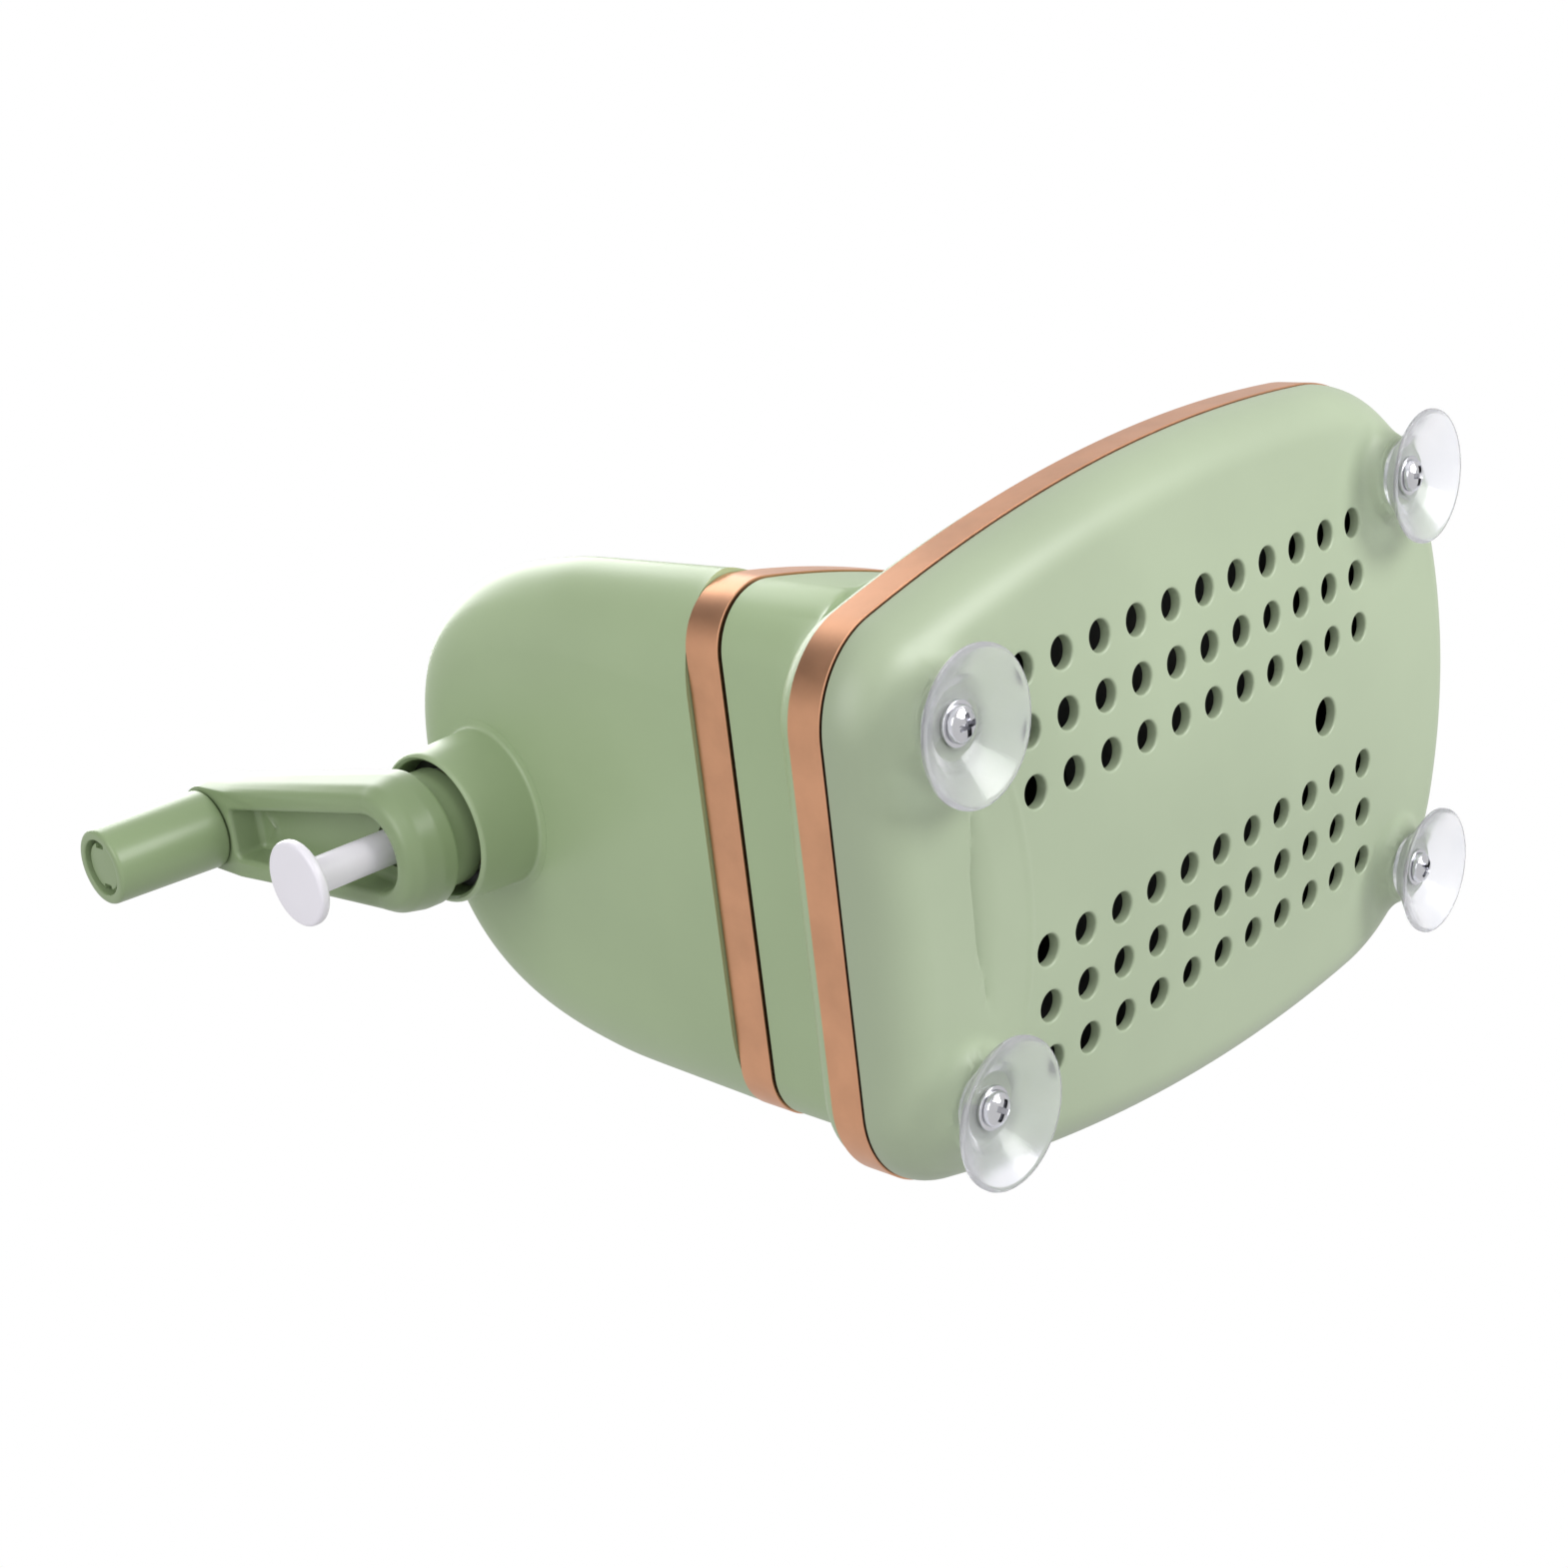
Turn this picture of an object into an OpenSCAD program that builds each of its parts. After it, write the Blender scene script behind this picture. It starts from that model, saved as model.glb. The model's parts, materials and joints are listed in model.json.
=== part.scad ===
// Hand crank meat grinder: a hollow stand on suction cups, a grinding barrel in its head,
// a lift-off hopper on top and a crank at the back.
// Millimetres. +X points to the outlet, -X to the crank, +Z up, z = 0 under the suction cups.

/* [Base] */
// X of the flat back edge of the base, measured from the middle of the vent holes
base_back = -102.7; // [-108:0.1:-98]
// Half width of the straight part of the back edge
base_flat = 36.6; // [30:0.1:42]
// Height of the bottom plate's lowest line above the table
plate_z = 7.7; // [7.2:0.1:9]
// Height of the lower edge of the base trim band
base_trim_z = 21.3; // [20:0.1:24]
// Height of the base trim band
base_trim_h = 8.3; // [6:0.1:12]
// Distance between vent holes, centre to centre
vent_pitch = 12; // [11:0.5:13]
// Diameter of a vent hole
vent_d = 6.5; // [4:0.1:8]

/* [Neck and head] */
// Height of the lower edge of the waist trim band
waist_z = 59.8; // [55:0.1:64]
// Height of the waist trim band
waist_trim_h = 9.6; // [6:0.1:12]
// X of the flat back of the waist
waist_back = -88.6; // [-92:0.1:-87]
// Half width of the straight part of the waist's back
waist_flat = 44.4; // [38:0.1:46]
// X of the head's front face
head_front = -9; // [-12:0.5:-8]
// Height of the line where the head's back turns into its arch
arch_z = 110.8; // [106:0.1:114]

/* [Crank] */
// Height of the crank axis
axis_z = 145.5; // [144:0.5:147]
// Distance from the crank axis to the grip axis
crank_r = 52.4; // [48:0.1:56]
// Length of the grip
grip_len = 27.5; // [24:0.5:36]
// How far the locking pin stands out of its seated place
pin_out = 16.8; // [2.5:0.1:18]

/* [Grinding parts] */
// Inner radius of the barrel
barrel_r = 18.5; // [18:0.1:19]
// X of the barrel's open end
barrel_end = 12; // [11:0.5:13]
// X of the hopper and pusher axis
port_x = -32; // [-34:0.5:-30]
// Pitch of the auger's flight
flight_pitch = 22; // [16:1:28]

/* [Hidden] */
$fn = 64;
wall = 2.4;
gap = 0.2;                          // gap between parts that only lie against each other
run = 0.06;                         // radial clearance of a shaft that turns or slides
neck_z = base_trim_z + base_trim_h;      // top of the base band
head_z = waist_z + waist_trim_h;          // top of the waist band, where the head starts

// Plan outlines, as chains of [radius, turn in degrees, steps] from the back edge to the front
base_arcs = [[20.7, 74.6, 8], [429.3, 19.84, 6], [47.6, 69, 8]];
waist_arcs = [[13, 98.6, 9], [263, 11.5, 5], [14, 49.9, 8]];
edge_round = 10;                    // how far the pan's rounded edge reaches inwards
dome = [0.000167, 0.000683];        // rise of the bottom plate along X and Y, per mm squared
proud = 0.4;                        // how far the trim bands stand out

// The head's back face and its rounding. The rounding is given at head_z and at the crown.
head_back = -89.9;
back_lean = 0.06;
ridge_half = 40.4;
ridge_taper = 0.094;
arch_rise = 52.4;
arch_power = 2.834;
round_out = [22.8, 12.2];
round_deep = [15, 9];
front_half = 34;
front_round = 4;
crown_z = arch_z + arch_rise + round_out[1];

// Crank side
boss_profile = [[-83, 0], [-83, 18.2], [-100.4, 17.7], [-101.5, 17.3], [-102, 16.6], [-102, 0]];
recess_r = 15.8;
recess_x = -95;
hub_back = -107.3;
hub_front = -118.8;
hub_floor = -113.2;
hub_profile = [[15.8, 107.3], [15.7, 110.5], [14.7, 114.5], [13.4, 117], [12, 118.8]];
end_profile = [[11.4, 118], [11, 121.5], [10.4, 125.4], [9.4, 126.9]];
seat_x = -126.9;
grip_x = seat_x - 0.4;
grip_end = grip_x - grip_len;
grip_z = axis_z + crank_r;
grip_root_r = 9.3;
grip_end_r = 8.7;
axle_r = 3.5;
cap_r = 5.6;
socket_w = 11;
pin_r = 4;
pin_len = 40;
pin_head_r = 9.6;
pin_x = hub_front - 0.6 - pin_out;

// Barrel and what is in it
shaft_r = 8;
core_r = 8.5;
flight_r = barrel_r - 0.4;
bush_r = 10;
neck_r = 12.5;
barrel_out = barrel_r + 3;
collar_r = 25;
thread_r = barrel_out + 1.6;
barrel_back = -62;
drive_w = 9;
blade_x = 3;
blade_h = 5.8;
plate_x = 9.2;
plate_h = 5;
nut_back = head_front + 4;
nut_front = 17.3;
nut_r = 27;

// Hopper
throat_r = 16;
throat_top = crown_z + 6;
hopper_r = 13.5;
bowl_x = -22;
bowl_r = 30;
bowl_z = [throat_top + 2.1, throat_top + 25];
pusher_r = hopper_r - 0.1;
foot_z = 166;
pusher_top = 216;

// Suction cups and screws
cup_r = 15;
cup_places = [[-85, 38], [77.4, 47.5]];
cup_boss_z = 7.5;
post_z = 14;
neck_screw_places = [[-70, 40], [-26, 28]];
screw_r = 1.65;

// ---------- outlines and shared shapes ----------

// Points along a chain of arcs, each tangent to the last. Heading 0 is +Y and 90 is +X.
function chain(arcs, from, heading, grow, i = 0) =
    i == len(arcs) ? [] :
    let (r = arcs[i][0] + grow,
         centre = from + r * [cos(heading), -sin(heading)],
         pts = [for (k = [1:arcs[i][2]])
                    let (h = heading + arcs[i][1] * k / arcs[i][2])
                    centre - r * [cos(h), -sin(h)]])
    concat(pts, chain(arcs, pts[len(pts) - 1], heading + arcs[i][1], grow, i + 1));

function turned(arcs, i = 0) = i == len(arcs) ? 0 : arcs[i][1] + turned(arcs, i + 1);

// A closed outline, mirrored about the X axis. A last arc centred on that axis closes it.
function outline(back, flat_y, arcs, grow) =
    let (end_turn = turned(arcs),
         bare = chain(arcs, [back, flat_y], 0, 0),
         last_r = bare[len(bare) - 1][1] / sin(end_turn),
         whole = concat(arcs, [[last_r, 180 - end_turn, 4]]),
         half = concat([for (k = [0:2]) [back - grow, flat_y * k / 2]],
                       chain(whole, [back - grow, flat_y], 0, grow)))
    concat(half, [for (i = [len(half) - 2:-1:1]) [half[i][0], -half[i][1]]]);

function base_outline(grow = 0) = outline(base_back, base_flat, base_arcs, grow);
function waist_outline(grow = 0) = outline(waist_back, waist_flat, waist_arcs, grow);

// Middle of the whole grinder along X, between the grip's end and the base trim's front
x_mid = (grip_end + max([for (p = base_outline(proud)) p[0]])) / 2;

function at_height(points, z) = [for (p = points) [p[0], p[1], z]];

// A ring-shaped wall between two outlines
module band(outer, inner, z, h)
    translate([0, 0, z])
        linear_extrude(h)
            difference() {
                polygon(outer);
                polygon(inner);
            }

function middle(points) = [for (k = [0:2]) [for (p = points) p[k]] * [for (p = points) 1] / len(points)];

// Closed solid through rings of equal point counts, each end closed by a fan to its middle
module loft(rings) {
    n = len(rings[0]);
    last = len(rings) - 1;
    low_mid = n * (last + 1);
    sides = [for (k = [0:last - 1], i = [0:n - 1])
                let (a = k * n + i, b = k * n + (i + 1) % n)
                each [[a, b, b + n], [a, b + n, a + n]]];
    ends = [for (i = [0:n - 1])
                let (j = (i + 1) % n)
                each [[j, i, low_mid], [last * n + i, last * n + j, low_mid + 1]]];
    polyhedron(concat([for (ring = rings) each ring], [middle(rings[0]), middle(rings[last])]),
               concat(sides, ends));
}

// Cylinder along +X from x0 to x1, on the crank axis unless a height is given
module rod(r, x0, x1, z = axis_z)
    translate([x0, 0, z])
        rotate([0, 90, 0])
            cylinder(r = r, h = x1 - x0);

// Turned part about an axis along X, from [x, radius] points
module turned_part(points, z = axis_z)
    translate([0, 0, z])
        rotate([0, 90, 0])
            rotate_extrude()
                polygon([for (p = points) [p[1], p[0]]]);

// Turned part about a vertical axis, from [radius, z] points
module turned_up(x, points)
    translate([x, 0, 0])
        rotate_extrude()
            polygon(points);

module port_part(points)
    turned_up(port_x, points);

module at_places(places)
    for (place = places, side = [-1, 1])
        translate([place[0], side * place[1], 0])
            children();

// Moves a part from the vent holes' frame to the middle of the grinder
module placed(tint, alpha = 1)
    color(tint, alpha)
        translate([-x_mid, 0, 0])
            children();

// Pan-head screw, head down, with a cross recess in its head
module cross_screw(head_r, head_h, length)
    difference() {
        union() {
            intersection() {
                cylinder(r = head_r, h = head_h);
                translate([0, 0, head_r * 1.25])
                    sphere(r = head_r * 1.25);
            }
            translate([0, 0, head_h - 0.1])
                cylinder(r = screw_r, h = length + 0.1);
        }
        for (turn = [0, 90])
            rotate([0, 0, turn])
                translate([-head_r * 0.55, -0.45, -1])
                    cube([head_r * 1.1, 0.9, head_h * 0.6 + 1]);
    }

// ---------- base ----------

function plate_height(p, inset) = plate_z + inset + dome[0] * p[0] * p[0] + dome[1] * p[1] * p[1];

// The pan: a rounded edge over a plate that bows down towards its middle
module pan_skin(inset, top)
    loft([
        for (s = [0.08, 0.35, 0.7])
            [for (p = base_outline(-inset - edge_round))
                let (q = [p[0] * (0.7 + 0.3 * s), p[1] * s])
                [q[0], q[1], plate_height(q, inset)]],
        for (turn = [90:-18:0])
            [for (p = base_outline(-inset - edge_round * (1 - cos(turn))))
                [p[0], p[1], base_trim_z - (base_trim_z - plate_height(p, inset)) * sin(turn)]],
        at_height(base_outline(-inset), top)
    ]);

module vents() {
    for (column = [-5:5], row = [-1, 0, 1], side = [-1, 1])
        translate([column * vent_pitch, side * (28.3 + row * vent_pitch), 0])
            cylinder(d = vent_d, h = 20);
    translate([43.8, 0, 0])
        cylinder(d = 8.6, h = 20);
}

module base_pan()
    placed("#b9cba6")
        difference() {
            union() {
                difference() {
                    pan_skin(0, base_trim_z + 0.05);
                    pan_skin(wall, base_trim_z + 1);
                }
                at_places(cup_places)
                    translate([0, 0, cup_boss_z])
                        cylinder(r = 8.5, h = post_z - cup_boss_z - gap);
            }
            vents();
            at_places(cup_places)
                cylinder(r = 2.3, h = 30);
        }

module base_trim()
    placed("#c08a62")
        band(base_outline(proud), base_outline(-0.9), base_trim_z + gap, base_trim_h - 2 * gap);

// The waist outline flared outwards, but less where the base's edge is close to it
function flared(flare, inset) =
    let (waist = waist_outline(-inset), wide = waist_outline(flare - inset), edge = base_outline(-2.4 - inset))
    [for (i = [0:len(waist) - 1])
        let (room = min(1, max(0, (norm(edge[i] - waist[i]) - 1) / 10)))
        waist[i] + room * (wide[i] - waist[i])];

// Deck and neck: a rounded shoulder over the base band, then a flare up to the waist
module shell_skin(inset, low, top)
    loft([
        for (p = [[0, low], [0, neck_z], [0.5, neck_z + 2.2], [2.4, neck_z + 4.6]])
            at_height(base_outline(-p[0] - inset), p[1] - (p[1] > neck_z ? inset : 0)),
        for (p = [[5, neck_z + 6.4], [2.6, neck_z + 9.5], [1.1, neck_z + 15], [0.3, waist_z - 6]])
            at_height(flared(p[0], inset), p[1] - (p[1] < neck_z + 12 ? inset : 0)),
        at_height(waist_outline(-inset), top)
    ]);

module base_shell()
    placed("#a9bb95")
        difference() {
            union() {
                shell_skin(0, neck_z, waist_z);
                band(base_outline(-1.1), base_outline(-1.1 - wall), base_trim_z + 0.3, base_trim_h);
                translate([0, 0, waist_z - 1])
                    linear_extrude(waist_trim_h + 1 - gap)
                        polygon(waist_outline(-1.1));
                at_places(cup_places)
                    translate([0, 0, post_z])
                        cylinder(r = 5, h = neck_z - post_z + 2);
            }
            difference() {
                union() {
                    shell_skin(wall + 1.1, neck_z - 3, waist_z - 4);
                    translate([0, 0, waist_z - 5])
                        linear_extrude(waist_trim_h + 2)
                            polygon(waist_outline(-1.1 - wall));
                }
                at_places(cup_places)
                    cylinder(r = 5, h = 60);
            }
            at_places(neck_screw_places)
                translate([0, 0, head_z - 10])
                    cylinder(r = 2.2, h = 20);
            at_places(cup_places)
                translate([0, 0, post_z - 1])
                    cylinder(r = screw_r, h = 16);
        }

module waist_trim()
    placed("#c08a62")
        band(waist_outline(proud), waist_outline(-0.9), waist_z + gap, waist_trim_h - 2 * gap);

module suction_cups()
    placed("#e6ece6", 0.6)
        at_places(cup_places)
            rotate_extrude()
                polygon([[2.3, 5.2], [6.4, 5.2], [8.2, 3.9], [14.2, 0], [cup_r, 0],
                         [cup_r, 0.7], [9.4, 5], [7.2, 7.3], [2.3, 7.3]]);

module cup_washers()
    placed("silver")
        at_places(cup_places)
            translate([0, 0, 4.4])
                difference() {
                    cylinder(r = 4.4, h = 0.75);
                    translate([0, 0, -1])
                        cylinder(r = 2.3, h = 3);
                }

module cup_screws()
    placed("silver")
        at_places(cup_places)
            translate([0, 0, 2.2])
                cross_screw(3.65, 2.1, 22);

module neck_screws()
    placed("silver")
        at_places(neck_screw_places)
            translate([0, 0, head_z - gap - 3 - 2.3])
                cross_screw(3.6, 2.2, 14);

// ---------- head ----------

// A head section as [y, z] points from one foot over the arch to the other foot
function section(half, rise, power, z0, taper) =
    let (legs = [for (k = [0:2]) head_z + (z0 - head_z) * k / 3])
    concat([for (z = legs) [-half + taper * (z0 - z), z]],
           [for (k = [0:16])
               let (t = 180 * k / 16)
               [-sign(cos(t)) * half * pow(abs(cos(t)), 2 / power),
                z0 + rise * pow(abs(sin(t)), 2 / power)]],
           [for (k = [2:-1:0]) [half - taper * (z0 - legs[k]), legs[k]]]);

// Unit vector out of a section at point i
function outward(s, i) =
    let (a = s[max(i - 1, 0)], b = s[min(i + 1, len(s) - 1)], d = (b - a) / norm(b - a))
    [-d[1], d[0]];

// One ring of the rounding behind the head, from the flat back (0) to the flank (90 degrees)
function back_ring(turn, inset) =
    let (s = section(ridge_half, arch_rise, arch_power, arch_z, ridge_taper))
    [for (i = [0:len(s) - 1])
        let (f = (s[i][1] - head_z) / (arch_z + arch_rise - head_z),
             out = round_out[0] + (round_out[1] - round_out[0]) * f,
             deep = round_deep[0] + (round_deep[1] - round_deep[0]) * f,
             p = s[i] + outward(s, i) * (out * sin(turn) - inset))
        [head_back + back_lean * (s[i][1] - head_z) + inset + deep * (1 - cos(turn)),
         p[0], i == 0 || i == len(s) - 1 ? head_z : p[1]]];

function front_ring(turn, inset) =
    let (half = front_half - front_round * (1 - sin(turn)) - inset)
    [for (p = section(half, half, 2, crown_z - front_half, 0))
        [head_front - inset - front_round * (1 - cos(turn)), p[0], p[1]]];

function lowered(ring, drop) = [for (p = ring) [p[0], p[1], p[2] - (p[2] < head_z + 0.01 ? drop : 0)]];

module head_skin(inset, drop)
    loft([for (turn = [0:22.5:90]) lowered(back_ring(turn, inset), drop),
          for (turn = [90:-30:0]) lowered(front_ring(turn, inset), drop)]);

module head_shell()
    placed("#a9bb95")
        difference() {
            union() {
                difference() {
                    head_skin(0, 0);
                    head_skin(wall, 5);
                }
                turned_part(boss_profile);
                translate([0, 0, head_z])
                    linear_extrude(3)
                        difference() {
                            polygon(waist_outline(-1.5));
                            translate([-62, -20])
                                square([44, 40]);
                        }
                at_places(neck_screw_places)
                    translate([0, 0, head_z])
                        cylinder(r = 4.5, h = 22);
            }
            rod(recess_r, -110, recess_x);
            rod(neck_r + gap, -110, -60);
            rod(barrel_out + gap, head_front - 8, 20);
            translate([port_x, 0, axis_z])
                cylinder(r = throat_r + 2.5 + gap, h = 60);
            at_places(neck_screw_places)
                translate([0, 0, head_z - 1])
                    cylinder(r = screw_r, h = 14);
        }

// ---------- grinding parts ----------

thread_steps = [for (k = [0:3])
                   each [[head_front + 5.5 + 3.4 * k, barrel_out + 0.8], [head_front + 6.3 + 3.4 * k, thread_r],
                         [head_front + 7.1 + 3.4 * k, thread_r], [head_front + 7.9 + 3.4 * k, barrel_out + 0.8]]];

module barrel()
    placed("#c9ccc9")
        difference() {
            turned_part(concat([[-97, neck_r - 0.4], [-96.6, neck_r], [-96.5, 11.5], [-95.1, 11.5],
                                [-95, neck_r], [barrel_back, neck_r], [barrel_back, barrel_out],
                                [head_front + gap, barrel_out], [head_front + gap, collar_r],
                                [head_front + 3, collar_r], [head_front + 3, barrel_out + 0.8]],
                               thread_steps,
                               [[barrel_end, barrel_out + 0.8], [barrel_end, barrel_r],
                                [barrel_back + 6, barrel_r], [barrel_back + 6, bush_r + 0.02],
                                [-97, bush_r + 0.02]]));
            translate([port_x, 0, axis_z])
                cylinder(r = throat_r, h = 40);
        }

module barrel_clip()
    placed("silver")
        difference() {
            rod(15.2, -96.4, -95.2);
            rod(11.6, -97, -95);
            translate([-98, -4, axis_z - 20])
                cube([4, 8, 12]);
        }

module feed_throat()
    placed("#a9bb95")
        difference() {
            port_part([[throat_r, axis_z], [throat_r + 2.5, axis_z], [throat_r + 2.5, crown_z + 0.4],
                       [throat_r + 5, crown_z + 0.4], [throat_r + 5, crown_z + 2.4],
                       [throat_r + 2.5, crown_z + 3.4], [throat_r + 2.5, throat_top],
                       [throat_r, throat_top]]);
            rod(barrel_out + gap, -60, 10);
        }

module rear_bush()
    placed("#b8863b")
        turned_part([[-98.4, shaft_r + run], [-98.4, 12], [-97.05, 12], [-97.05, bush_r],
                     [barrel_back + 6, bush_r], [barrel_back + 6, shaft_r + run]]);

module shaft_seal()
    placed("#2b2b2b")
        turned_part([[barrel_back + 6.05, shaft_r + run], [barrel_back + 6.05, 14],
                     [barrel_back + 7.2, 14], [barrel_back + 7.6, 12], [barrel_back + 7.6, shaft_r + run]]);

module auger()
    placed("#c9ccc9")
        difference() {
            union() {
                rod(shaft_r, -99, -53);
                translate([-111.2, -socket_w / 2, axis_z - socket_w / 2])
                    cube([12.3, socket_w, socket_w]);
                rod(core_r, barrel_back + 8, blade_x - 0.4);
                translate([barrel_back + 9, 0, axis_z])
                    rotate([0, 90, 0])
                        linear_extrude(55, twist = -360 * 55 / flight_pitch, slices = 60, $fn = 12)
                            polygon([for (k = [0:6]) (core_r - 1) * [cos(9 * k - 27), sin(9 * k - 27)],
                                     for (k = [4:-1:0]) flight_r * [cos(7 * k - 14), sin(7 * k - 14)]]);
                translate([blade_x - 0.5, -drive_w / 2, axis_z - drive_w / 2])
                    cube([blade_h + 0.4, drive_w, drive_w]);
                rod(4, blade_x, plate_x + plate_h - 0.4);
            }
            rod(pin_r + run, -112, -78);
        }

module cutting_blade()
    placed("silver")
        difference() {
            union() {
                rod(8.5, blade_x, blade_x + blade_h);
                for (turn = [0:90:270])
                    translate([0, 0, axis_z])
                        rotate([turn, 0, 0])
                            translate([blade_x + 1, -4, 0])
                                cube([blade_h - 1, 7, barrel_r - 3.1]);
            }
            translate([blade_x - 1, -drive_w / 2 - 0.05, axis_z - drive_w / 2 - 0.05])
                cube([8, drive_w + 0.1, drive_w + 0.1]);
        }

module grinding_plate()
    placed("silver")
        difference() {
            rod(barrel_r - 0.08, plate_x, plate_x + plate_h);
            rod(4 + run, plate_x - 1, plate_x + plate_h + 1);
            for (ring = [[8.4, 6], [13.6, 12]], k = [1:ring[1]])
                translate([plate_x - 1, 0, axis_z])
                    rotate([360 * k / ring[1], 0, 0])
                        translate([0, 0, ring[0]])
                            rotate([0, 90, 0])
                                cylinder(r = 2.4, h = plate_h + 2);
        }

module ring_nut()
    placed("#a9bb95")
        difference() {
            turned_part([[nut_back, thread_r + 0.35], [nut_back, nut_r - 1], [nut_back + 1, nut_r],
                         [nut_front - 7, nut_r], [nut_front, nut_r - 4], [nut_front, 15.5],
                         [plate_x + plate_h + 0.2, 15.5], [plate_x + plate_h + 0.2, thread_r + 0.35]]);
            for (k = [1:12])
                translate([nut_back - 1, 0, axis_z])
                    rotate([30 * k, 0, 0])
                        translate([0, 0, nut_r + 2])
                            rotate([0, 90, 0])
                                cylinder(r = 3.2, h = 40);
        }

module hopper()
    placed("#a9bb95")
        difference() {
            union() {
                turned_up(bowl_x, [[0, bowl_z[0]], [26, bowl_z[0]], [28, bowl_z[0] + 2],
                                   [bowl_r, bowl_z[1] - 2.4], [bowl_r + 1, bowl_z[1] - 2.4],
                                   [bowl_r + 1, bowl_z[1]], [0, bowl_z[1]]]);
                port_part([[0, foot_z + 2], [throat_r - gap, foot_z + 2],
                           [throat_r - gap, bowl_z[0] + 1], [0, bowl_z[0] + 1]]);
            }
            turned_up(bowl_x, [[0, bowl_z[0] + wall], [23, bowl_z[0] + wall], [25.6, bowl_z[0] + wall + 2.6],
                               [bowl_r - wall, bowl_z[1] - 2], [bowl_r - wall, bowl_z[1] + 1],
                               [0, bowl_z[1] + 1]]);
            port_part([[0, foot_z], [hopper_r, foot_z], [hopper_r, bowl_z[1]], [0, bowl_z[1]]]);
        }

module hopper_seal()
    placed("#2b2b2b")
        port_part([[throat_r, throat_top + 0.05], [throat_r + 3.2, throat_top + 0.05],
                   [throat_r + 3.2, bowl_z[0] - 0.05], [throat_r, bowl_z[0] - 0.05]]);

module food_pusher()
    placed("#e9ece4")
        difference() {
            port_part([[0, foot_z], [pusher_r - 1, foot_z], [pusher_r, foot_z + 1],
                       [pusher_r, pusher_top - 5], [pusher_r + 3.4, pusher_top - 3],
                       [pusher_r + 3.4, pusher_top - 1], [pusher_r + 2.4, pusher_top], [0, pusher_top]]);
            port_part([[0, foot_z + 3], [pusher_r - 2.4, foot_z + 3], [pusher_r - 2.4, pusher_top + 1],
                       [0, pusher_top + 1]]);
        }

// ---------- crank ----------

// Stack of thin discs, each [radius, distance behind the vent holes' middle]
module discs(profile, z)
    for (p = profile)
        rod(p[0], -p[1], -p[1] + 0.02, z, $fn = 40);

module crank_arm()
    placed("#a9bb95")
        difference() {
            union() {
                hull() {
                    discs(hub_profile, axis_z);
                    discs(end_profile, grip_z);
                }
                rod(13.5, hub_back - 1, -99);
            }
            hull() {
                rod(8.8, -140, hub_floor, $fn = 40);
                translate([-140, -5.8, grip_z - 13])
                    cube([20.5, 11.6, 3]);
            }
            translate([-111.3, -socket_w / 2 - 0.05, axis_z - socket_w / 2 - 0.05])
                cube([15, socket_w + 0.1, socket_w + 0.1]);
            rod(pin_r + run, -140, -100);
            rod(axle_r + 0.02, -140, -119.5, grip_z);
        }

module locking_pin()
    placed("#f1f1ee")
        turned_part([[pin_x + pin_len, 0], [pin_x + pin_len, pin_r - 0.8],
                     [pin_x + pin_len - 0.8, pin_r], [pin_x, pin_r], [pin_x, pin_head_r - 0.5],
                     [pin_x - 0.5, pin_head_r], [pin_x - 1.6, pin_head_r],
                     [pin_x - 2.4, pin_head_r - 1], [pin_x - 2.4, 0]]);

module grip_axle()
    placed("silver")
        difference() {
            turned_part([[-119.6, 0], [-119.6, axle_r], [grip_end + 2.4, axle_r],
                         [grip_end + 2.4, cap_r], [grip_end + 1.2, cap_r], [grip_end + 1, cap_r - 0.3],
                         [grip_end + 1, 0]], grip_z);
            for (side = [-1, 1])
                translate([grip_end + 0.5, side * 3.2 - 0.5, grip_z - 2.2])
                    cube([1.2, 1, 4.4]);
        }

module grip()
    placed("#b9cba6")
        turned_part([[grip_x, axle_r + run], [grip_x, grip_root_r - 0.8], [grip_x - 0.8, grip_root_r],
                     [grip_end + 2, grip_end_r + 0.1], [grip_end + 0.7, grip_end_r - 0.5],
                     [grip_end, grip_end_r - 1.6], [grip_end, cap_r + 0.9],
                     [grip_end + 2.8, cap_r + 0.9], [grip_end + 2.8, axle_r + run]], grip_z);

base_pan();
base_trim();
base_shell();
waist_trim();
head_shell();
suction_cups();
cup_washers();
cup_screws();
neck_screws();
barrel();
barrel_clip();
feed_throat();
rear_bush();
shaft_seal();
auger();
cutting_blade();
grinding_plate();
ring_nut();
hopper();
hopper_seal();
food_pusher();
crank_arm();
locking_pin();
grip_axle();
grip();
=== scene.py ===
# %% [markdown]
# # A hand crank meat grinder, dressed for its portrait
# The grinder stands on four suction cups. A hollow stand carries an arched head, the head carries
# the barrel, and a crank at the back turns the auger. The frame, which is loaded first, already has
# every piece at its true size and knows how each one moves. This lesson gives those pieces their
# smooth skins and their finishes. Nothing here moves or resizes a part: a finer mesh is built in
# the same place, rides on the same body and takes over from the plain one.

# %% Load the frame
import json
import math

import bmesh
import bpy
import numpy as np
from mathutils import Matrix, Vector


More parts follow.
